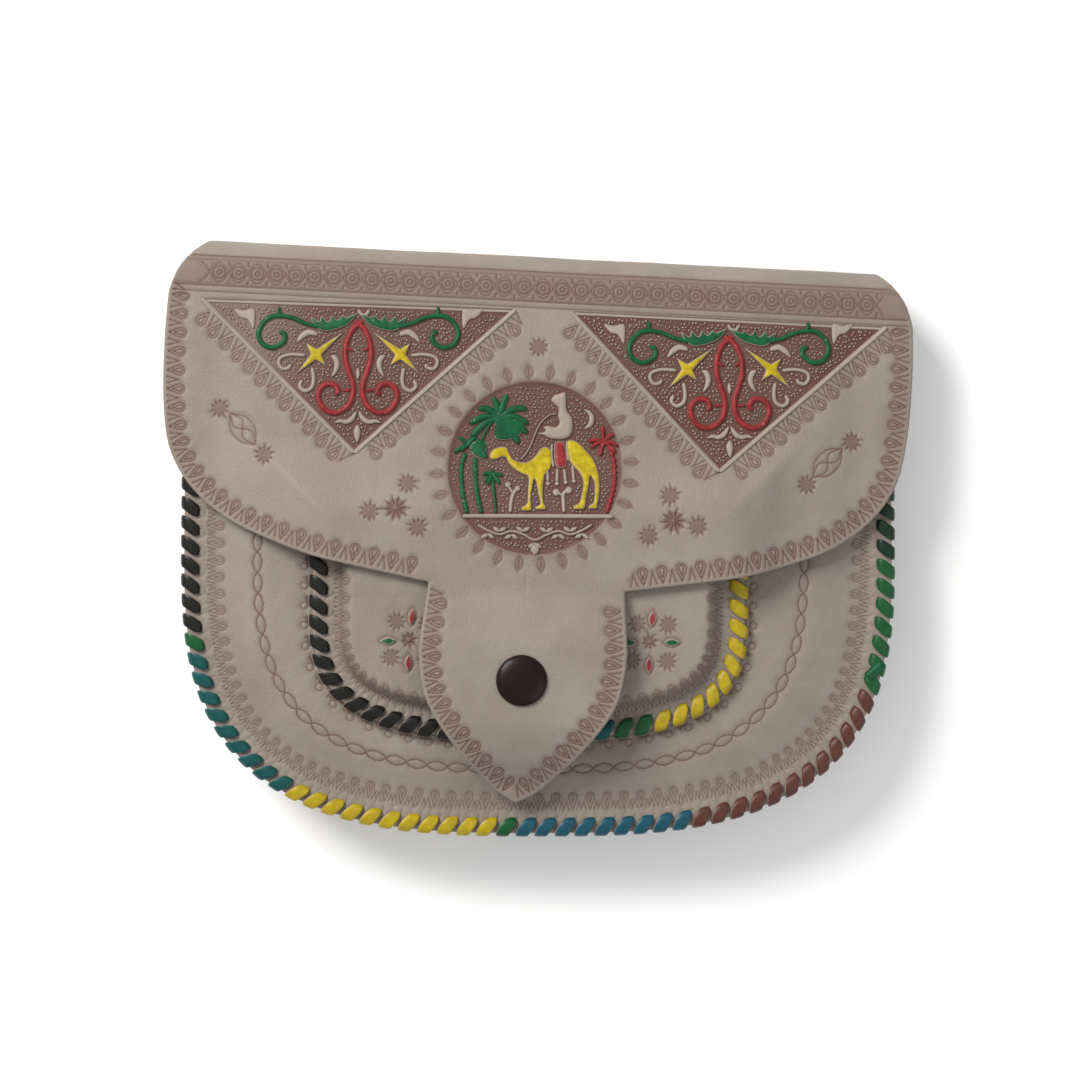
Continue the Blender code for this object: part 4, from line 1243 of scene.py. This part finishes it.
def frond_head(heart, ends, width, paint, droop=30.0):
    """A palm's crown: tapering fronds that arch out from the heart and droop."""
    for end in ends:
        middle = ((heart[0] + end[0]) / 2, (heart[1] + end[1]) / 2 - droop)
        scene_relief.ridge(sight([heart, middle, end]), width, 1.0, paint, 0.9, 0.15)


scene_relief.ridge(sight([(300, 1137), (800, 1138), (1322, 1140)]), 1.4, 0.8, CREAM, 0.6, 0.6)
frond_head((545, 460), [(335, 500), (350, 590), (395, 395), (500, 312), (605, 300), (735, 395), (745, 500),
                        (738, 565), (680, 640), (600, 600), (530, 600)], 2.2, GREEN)
scene_relief.pad(sight([(505, 470), (560, 440), (640, 450), (700, 490), (700, 560), (650, 600), (580, 612),
                        (515, 598), (520, 530)]), 1.0, GREEN, 0.9)
scene_relief.ridge(sight([(495, 480), (450, 555), (412, 640)]), 0.9, 0.8, GREEN)
frond_head((325, 655), [(262, 590), (235, 700), (285, 690), (390, 590), (345, 600)], 1.4, GREEN, 14.0)
frond_head((400, 640), [(445, 620), (460, 665), (455, 740), (385, 600), (350, 690)], 1.5, GREEN, 12.0)
scene_relief.pad(sight([(340, 650), (400, 615), (455, 625), (462, 670), (430, 740), (370, 715)]), 0.9, GREEN, 0.8)
for trunk, width, paint in (
    ([(312, 700), (285, 800), (288, 900), (300, 1000), (328, 1112)], 1.7, GREEN),
    ([(378, 735), (382, 850), (392, 960), (408, 1040), (425, 1112)], 1.8, GREEN),
    ([(505, 880), (508, 960), (518, 1040), (522, 1115)], 1.1, GREEN),
    ([(1300, 650), (1332, 760), (1335, 880), (1312, 1000), (1278, 1110)], 1.5, RED),
):
    scene_relief.ridge(sight(trunk), width, 0.9, paint, 0.8, 0.8, swell=[0.55, 1.25] * 12)
frond_head((500, 850), [(425, 850), (445, 905), (495, 812), (572, 862), (550, 920), (465, 925)], 1.3, GREEN, 8.0)
frond_head((1262, 625), [(1155, 622), (1172, 668), (1256, 512), (1335, 572), (1368, 655), (1238, 722),
                         (1345, 700)], 1.3, RED, 12.0)
scene_relief.pad(sight([
    (478, 722), (500, 680), (545, 660), (592, 662), (615, 700), (640, 745), (690, 765), (745, 762), (790, 725),
    (830, 672), (870, 660), (902, 690), (908, 755), (892, 815), (862, 850), (850, 905), (845, 980), (850, 1045),
    (866, 1072), (858, 1092), (800, 1092), (795, 1074), (826, 1052), (812, 985), (800, 915), (786, 885),
    (775, 935), (764, 1010), (766, 1060), (764, 1098), (700, 1100), (702, 1076), (736, 1050), (742, 960),
    (744, 872), (700, 846), (650, 815), (612, 775), (590, 735), (560, 732), (530, 745), (495, 748),
]), 1.15, YELLOW, 1.0)
scene_relief.pad(sight([
    (1012, 628), (1050, 612), (1105, 645), (1155, 700), (1198, 755), (1224, 830), (1234, 920), (1228, 1010),
    (1216, 1060), (1214, 1086), (1160, 1088), (1158, 1066), (1190, 1042), (1198, 960), (1192, 900), (1168, 862),
    (1160, 925), (1142, 1010), (1135, 1060), (1122, 1088), (1060, 1090), (1056, 1066), (1092, 1046),
    (1112, 975), (1120, 905), (1100, 850), (1060, 800), (1022, 745),
]), 1.15, YELLOW, 1.0)
scene_relief.pad(sight([(925, 640), (960, 622), (992, 636), (1004, 700), (1006, 780), (985, 806), (940, 802),
                        (924, 740)]), 1.0, RED, 0.8)
for line, width in (
    ([(908, 640), (905, 720), (918, 800)], 0.9), ([(1012, 618), (1012, 690), (1020, 760)], 0.9),
    ([(872, 800), (880, 900)], 0.9), ([(944, 812), (941, 905)], 0.9), ([(990, 812), (1000, 898)], 0.9),
    ([(1048, 785), (1056, 890)], 0.9), ([(940, 430), (890, 440), (838, 485), (800, 550), (765, 640), (730, 705),
                                         (690, 750)], 0.45),
    ([(622, 1112), (628, 1040), (645, 980), (672, 950)], 1.2), ([(642, 985), (606, 925)], 0.8),
    ([(988, 1112), (985, 1040), (985, 985), (1020, 958)], 1.2), ([(985, 1000), (936, 972)], 0.8),
):
    scene_relief.ridge(sight(line), width, 0.75, CREAM, 0.5, 0.5)
for x, y, radius in ((880, 915, 0.75), (941, 915, 0.75), (1001, 905, 0.75), (1057, 898, 0.75), (606, 922, 1.1),
                     (672, 948, 1.0), (936, 975, 1.25), (1022, 960, 1.25)):
    scene_relief.dot(sight([(x, y)])[0], radius, 0.9, CREAM, 12)
scene_relief.pad(sight([(958, 292), (1000, 284), (1006, 350), (1012, 410), (1046, 460), (1052, 520), (1036, 580),
                        (985, 606), (900, 602), (850, 580), (806, 566), (862, 552), (850, 522), (885, 515),
                        (935, 522), (960, 490), (948, 450), (952, 395), (922, 362), (902, 340), (920, 305)]),
                 1.1, CREAM, 1.0)
scene_relief.pad(sight([(1128, 402), (1172, 412), (1200, 460), (1185, 515), (1130, 538), (1160, 490),
                        (1160, 440)]), 0.8, CREAM, 0.6)
# A running vine fills the lower part of the disc.
vine = [(400, 1195), (470, 1235), (550, 1262), (630, 1240), (710, 1262), (790, 1300), (870, 1265), (950, 1240),
        (1030, 1262), (1110, 1235), (1180, 1195)]
scene_relief.ridge(sight(vine), 0.8, 0.75, CREAM, 0.4, 0.4)
for i, (x, y) in enumerate(vine[1:-1]):
    for side in (-1, 1):
        heart = sight([(x + 22 * side, y + (38 if i % 2 == 0 else -34))])[0]
        way = (0.9 * side, -0.55 if i % 2 == 0 else 0.55)
        scene_relief.pad(leaf_outline(heart, way, 2.6, 1.3), 0.75, CREAM, 0.5)
scene_relief.pad(sight([(790, 1330), (820, 1365), (790, 1402), (760, 1365)]), 0.8, CREAM, 0.5)


def within_disc(p):
    return np.hypot(*(p - MEDALLION).T) < DISC - 1.3


scene_relief.stipple(within_disc, MEDALLION - DISC, MEDALLION + DISC, 1.3, 0.36, 0.54, 9)
medallion = scene_relief.build("flap_medallion", flap_ground, PAINTS)
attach(medallion, "flap")


# Lacing: flat goatskin thong, whipped over the rims through the punched holes and painted afterwards, so that
# bare leather still shows in the holes and beneath. Its colours change along the rim.
def lace_material():
    made, tree, shader = new_material("painted lace")
    flat, dye, bare = carried(tree, "flat", "Vector"), carried(tree, "dye", "Color"), carried(tree, "bare")
    streaks = noise_of(tree, flat, 420.0, 4.0, 0.6)
    fibres = noise_of(tree, flat, 1500.0, 2.0, 0.5)
    deep = mixed(tree, 0.35, dye, (0.01, 0.01, 0.01))
    painted = mixed(tree, ramped(tree, streaks, 0.3, 0.7), dye, deep)
    cover = ramped(tree, maths(tree, "ADD", bare, maths(tree, "MULTIPLY", streaks, 0.5)), 0.62, 0.8)
    base = mixed(tree, cover, painted, (0.36, 0.31, 0.25))
    tree.links.new(base, shader.inputs["Base Color"])
    rough = maths(tree, "ADD", 0.24, maths(tree, "MULTIPLY", fibres, 0.28))
    tree.links.new(rough, shader.inputs["Roughness"])
    roughen(tree, shader, streaks, 0.3, 0.0003)
    shader.inputs["Specular IOR Level"].default_value = 0.24
    return made


painted_lace = lace_material()
BLACK, TEAL, BLUE = (0.006, 0.006, 0.005), (0.002, 0.07, 0.07), (0.004, 0.07, 0.11)
GOLD, LEAF, TAN = (0.42, 0.31, 0.006), (0.003, 0.08, 0.018), (0.095, 0.028, 0.018)
INK_GREEN = (0.003, 0.022, 0.01)


def whip_lace(name, rim, faces_at, first, last, dyes, side=1.0):
    """A flat thong wound over a rim. faces_at(point) gives the two outer heights of what it binds."""
    holes = stitch_places(rim)
    slant = CROSSING * PITCH
    control = []
    for k in range(last, first - 1, -1):
        hole = holes[k]
        wobble = 0.25 * noise.noise((k * 1.7, 3.0, len(name)))
        face, under = faces_at(rim.at(hole, HOLE_INSET))
        edge_face, edge_under = faces_at(rim.at(hole - slant, 0.0))
        middle = (edge_face + edge_under) / 2
        control += [
            (hole, 4.3, under - side * 0.75, 1.0, 1.0, k),
            (hole, 4.35, (face + under) / 2, 0.9, 1.0, k),
            (hole - 0.02 * slant, 4.3, face - side * 0.2, 1.1, 0.5, k),
            (hole - 0.08 * slant, 4.1, face + side * 0.5, 1.45, 0.1, k),
            (hole - 0.2 * slant, 3.4, face + side * 0.95, 1.8, 0.0, k),
            (hole - 0.6 * slant + wobble, 1.9, edge_face + side * 1.0, 1.92, 0.0, k),
            (hole - 0.9 * slant + wobble, 0.4, edge_face + side * 0.8, 1.98, 0.0, k),
            (hole - slant + wobble, -0.65, edge_face - side * 0.1, 1.98, 0.0, k),
            (hole - slant + wobble, -0.85, middle, 1.95, 0.1, k),
            (hole - slant, -0.65, edge_under + side * 0.1, 1.9, 0.3, k),
            (hole - 1.05 * slant, 0.4, edge_under - side * 0.75, 1.8, 0.6, k),
            (hole - 1.4 * slant, 2.4, edge_under - side * 0.8, 1.4, 1.0, k),
        ]
    control = np.array(control)
    t = np.arange(len(control))
    fine = np.linspace(0, len(control) - 1, (len(control) - 1) * 2 + 1)
    s, depth, z, half, bare, index = (np.interp(fine, t, control[:, i]) for i in range(6))
    for values in (s, depth, z):
        values[1:-1] = 0.25 * values[:-2] + 0.5 * values[1:-1] + 0.25 * values[2:]
    places = rim.at(s, depth)
    path = np.column_stack([places, z])
    tangent = np.gradient(path, axis=0)
    tangent /= np.linalg.norm(tangent, axis=1)[:, None]
    inward = rim.inward(s)
    along = np.column_stack([inward[:, 1], -inward[:, 0], np.zeros(len(s))])
    wide = along - tangent * np.sum(along * tangent, 1)[:, None]
    wide /= np.linalg.norm(wide, axis=1)[:, None]
    thick = np.cross(tangent, wide)
    sides = 10
    verts, flat, dye, cover = [], [], [], []
    for i in range(len(path)):
        colour = dyes(int(round(index[i])))
        for k in range(sides):
            angle = 2 * math.pi * k / sides
            a = math.copysign(abs(math.cos(angle)) ** 0.55, math.cos(angle)) * half[i]
            b = math.sin(angle) * (0.4 if half[i] > 1.2 else 0.5)
            verts.append(path[i] + wide[i] * a + thick[i] * b)
            flat.append((i * 0.9 * MM, a * MM, b * MM))
            dye.append(colour)
            cover.append(max(bare[i], 0.75 if k == sides // 2 else 0.0))
    faces = tube_faces(len(path), sides)
    return facing_out(new_mesh(name, verts, faces, [painted_lace], flat=flat, dye=dye, bare=cover))


def front_rim(point):
    top = rim_top(point[1])
    return top, top - FRONT_THICK - GAP - GUSSET_THICK


def pocket_rim(point):
    ground = front_top(point[0], point[1])
    return ground + GAP + POCKET_THICK, ground - FRONT_THICK


def back_rim(point):
    return BACK_LIFT, BACK_THICK + BACK_LIFT + GAP + GUSSET_THICK


def rim_dyes(k):
    for last, colour in ((11, BLACK), (12, LEAF), (21, TEAL), (32, GOLD), (33, LEAF), (42, BLUE), (54, TAN),
                         (61, LEAF)):
        if k <= last:
            return colour
    return INK_GREEN


def pocket_dyes(k):
    for last, colour in ((17, BLACK), (19, TEAL), (21, BLUE), (22, TEAL), (24, LEAF)):
        if k <= last:
            return colour
    return GOLD


count = len(rim_stitches)
join = int(count * 0.72)
for name, rim, faces_at, first, last, dyes, side, stands_for, slot in (
    ("front_lace_long", BODY, front_rim, 0, join, rim_dyes, 1.0, "rim_lace_long", "teal_lace"),
    ("front_lace_short", BODY, front_rim, join + 1, count - 1, rim_dyes, 1.0, "rim_lace_short", "red_brown_lace"),
    ("pocket_lace_wound", POCKET, pocket_rim, 0, len(pocket_stitches) - 1, pocket_dyes, 1.0, "pocket_lace",
     "black_lace"),
    ("back_lace", BODY, back_rim, 0, count - 1, rim_dyes, -1.0, None, None),
):
    lace = whip_lace(name, rim, faces_at, first, last, dyes, side)
    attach(lace, "body")
    if stands_for:
        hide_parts(stands_for)


# Tail: the painted end of a length of lace, laid over the rim at the lower right where brown gives way to green.
# It is tucked under a stitch.
lace_tail = Relief()
lace_tail.ridge([seen(868, 677, 25.0), seen(882, 664, 25.0)], 3.3, 0.9, 0, 0.95, 0.95)


def over_rim(p, lift):
    return np.column_stack([p, rim_top(p[:, 1]) + 1.1 + lift])


tail = lace_tail.build("lace_tail", over_rim, [green_paint])
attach(tail, "body")


# Snap: an enamelled cap on the tongue, clinched to a brass socket under it, and the stud and its post that stay
# on the pocket.
def turned(name, profile, sides, materials):
    """A round piece on the snap's axis from (radius, height) points, square to the pocket."""
    x, y = flap_xy(0.0, SNAP_V)
    seat = np.array([x, y, float(pocket_top(np.array([x]), np.array([y]))[0])])
    tilt = -math.atan(EXTRA_DEPTH / BODY_HEIGHT)
    up_way = np.array([0.0, -math.sin(tilt), math.cos(tilt)])
    ahead = np.array([0.0, math.cos(tilt), math.sin(tilt)])
    sideways = np.array([1.0, 0.0, 0.0])
    verts, flat = [], []
    for r, z in profile:
        r_now = max(r, 0.01)
        for k in range(sides):
            angle = 2 * math.pi * k / sides
            verts.append(seat + up_way * z + (sideways * math.cos(angle) + ahead * math.sin(angle)) * r_now)
            flat.append((r_now * math.cos(angle) * MM, r_now * math.sin(angle) * MM, z * MM))
    return facing_out(new_mesh(name, verts, tube_faces(len(profile), sides), materials, flat=flat,
                               stain=np.zeros(len(verts)), edge_wear=np.zeros(len(verts))))


def metal(name, colour, roughness, metallic, coat=0.0):
    """Enamel or worn brass with fine scratches and finger marks."""
    made, tree, shader = new_material(name)
    marks = noise_of(tree, carried(tree, "flat", "Vector"), 260.0, 5.0, 0.7)
    base = mixed(tree, ramped(tree, marks, 0.3, 0.75), tuple(c * 0.75 for c in colour), colour)
    tree.links.new(base, shader.inputs["Base Color"])
    rough = maths(tree, "ADD", roughness, maths(tree, "MULTIPLY", marks, 0.16))
    tree.links.new(rough, shader.inputs["Roughness"])
    shader.inputs["Metallic"].default_value = metallic
    shader.inputs["Specular IOR Level"].default_value = 0.14
    shader.inputs["Coat Weight"].default_value = coat
    shader.inputs["Coat Roughness"].default_value = 0.12
    return made


cap_enamel = metal("dark enamel", (0.014, 0.0035, 0.0035), 0.3, 0.0, 0.05)
brass = metal("brass", (0.55, 0.4, 0.18), 0.32, 1.0)
cap_low, cap_rise, cap_edge = 7.5, 2.1, 0.35
bend = np.linspace(0.0, math.pi / 2, 12)
dome = [(CAP_RADIUS * math.sin(a) ** 0.8, cap_low + cap_edge + (cap_rise - cap_edge) * math.cos(a) ** 1.1)
        for a in bend]
cap = turned("snap_cap_enamel", [*dome, (CAP_RADIUS, cap_low + 0.05), (CAP_RADIUS - 0.3, cap_low - 0.05),
                                 (1.5, cap_low - 0.05), (1.5, 3.4)], 64, [cap_enamel])
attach(cap, "flap")
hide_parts("snap_cap")
socket = turned("snap_socket_brass", [(1.8, 4.1), (4.2, 4.1), (4.6, 3.8), (4.6, 1.6), (4.3, 1.3), (3.2, 1.3),
                                      (3.0, 1.5), (3.0, 3.4), (1.8, 3.4)], 48, [brass])
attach(socket, "flap")
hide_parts("snap_socket")
stud = turned("snap_stud_brass", [(1.2, 2.9), (1.8, 2.8), (2.2, 2.4), (2.2, 1.9), (2.05, 1.3), (2.1, 1.0),
                                  (4.3, 1.0), (4.6, 0.8), (4.6, 0.3), (1.8, 0.3)], 48, [brass])
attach(stud, "body")
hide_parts("snap_stud")
for material_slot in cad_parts["snap_post"].material_slots:
    material_slot.material = brass
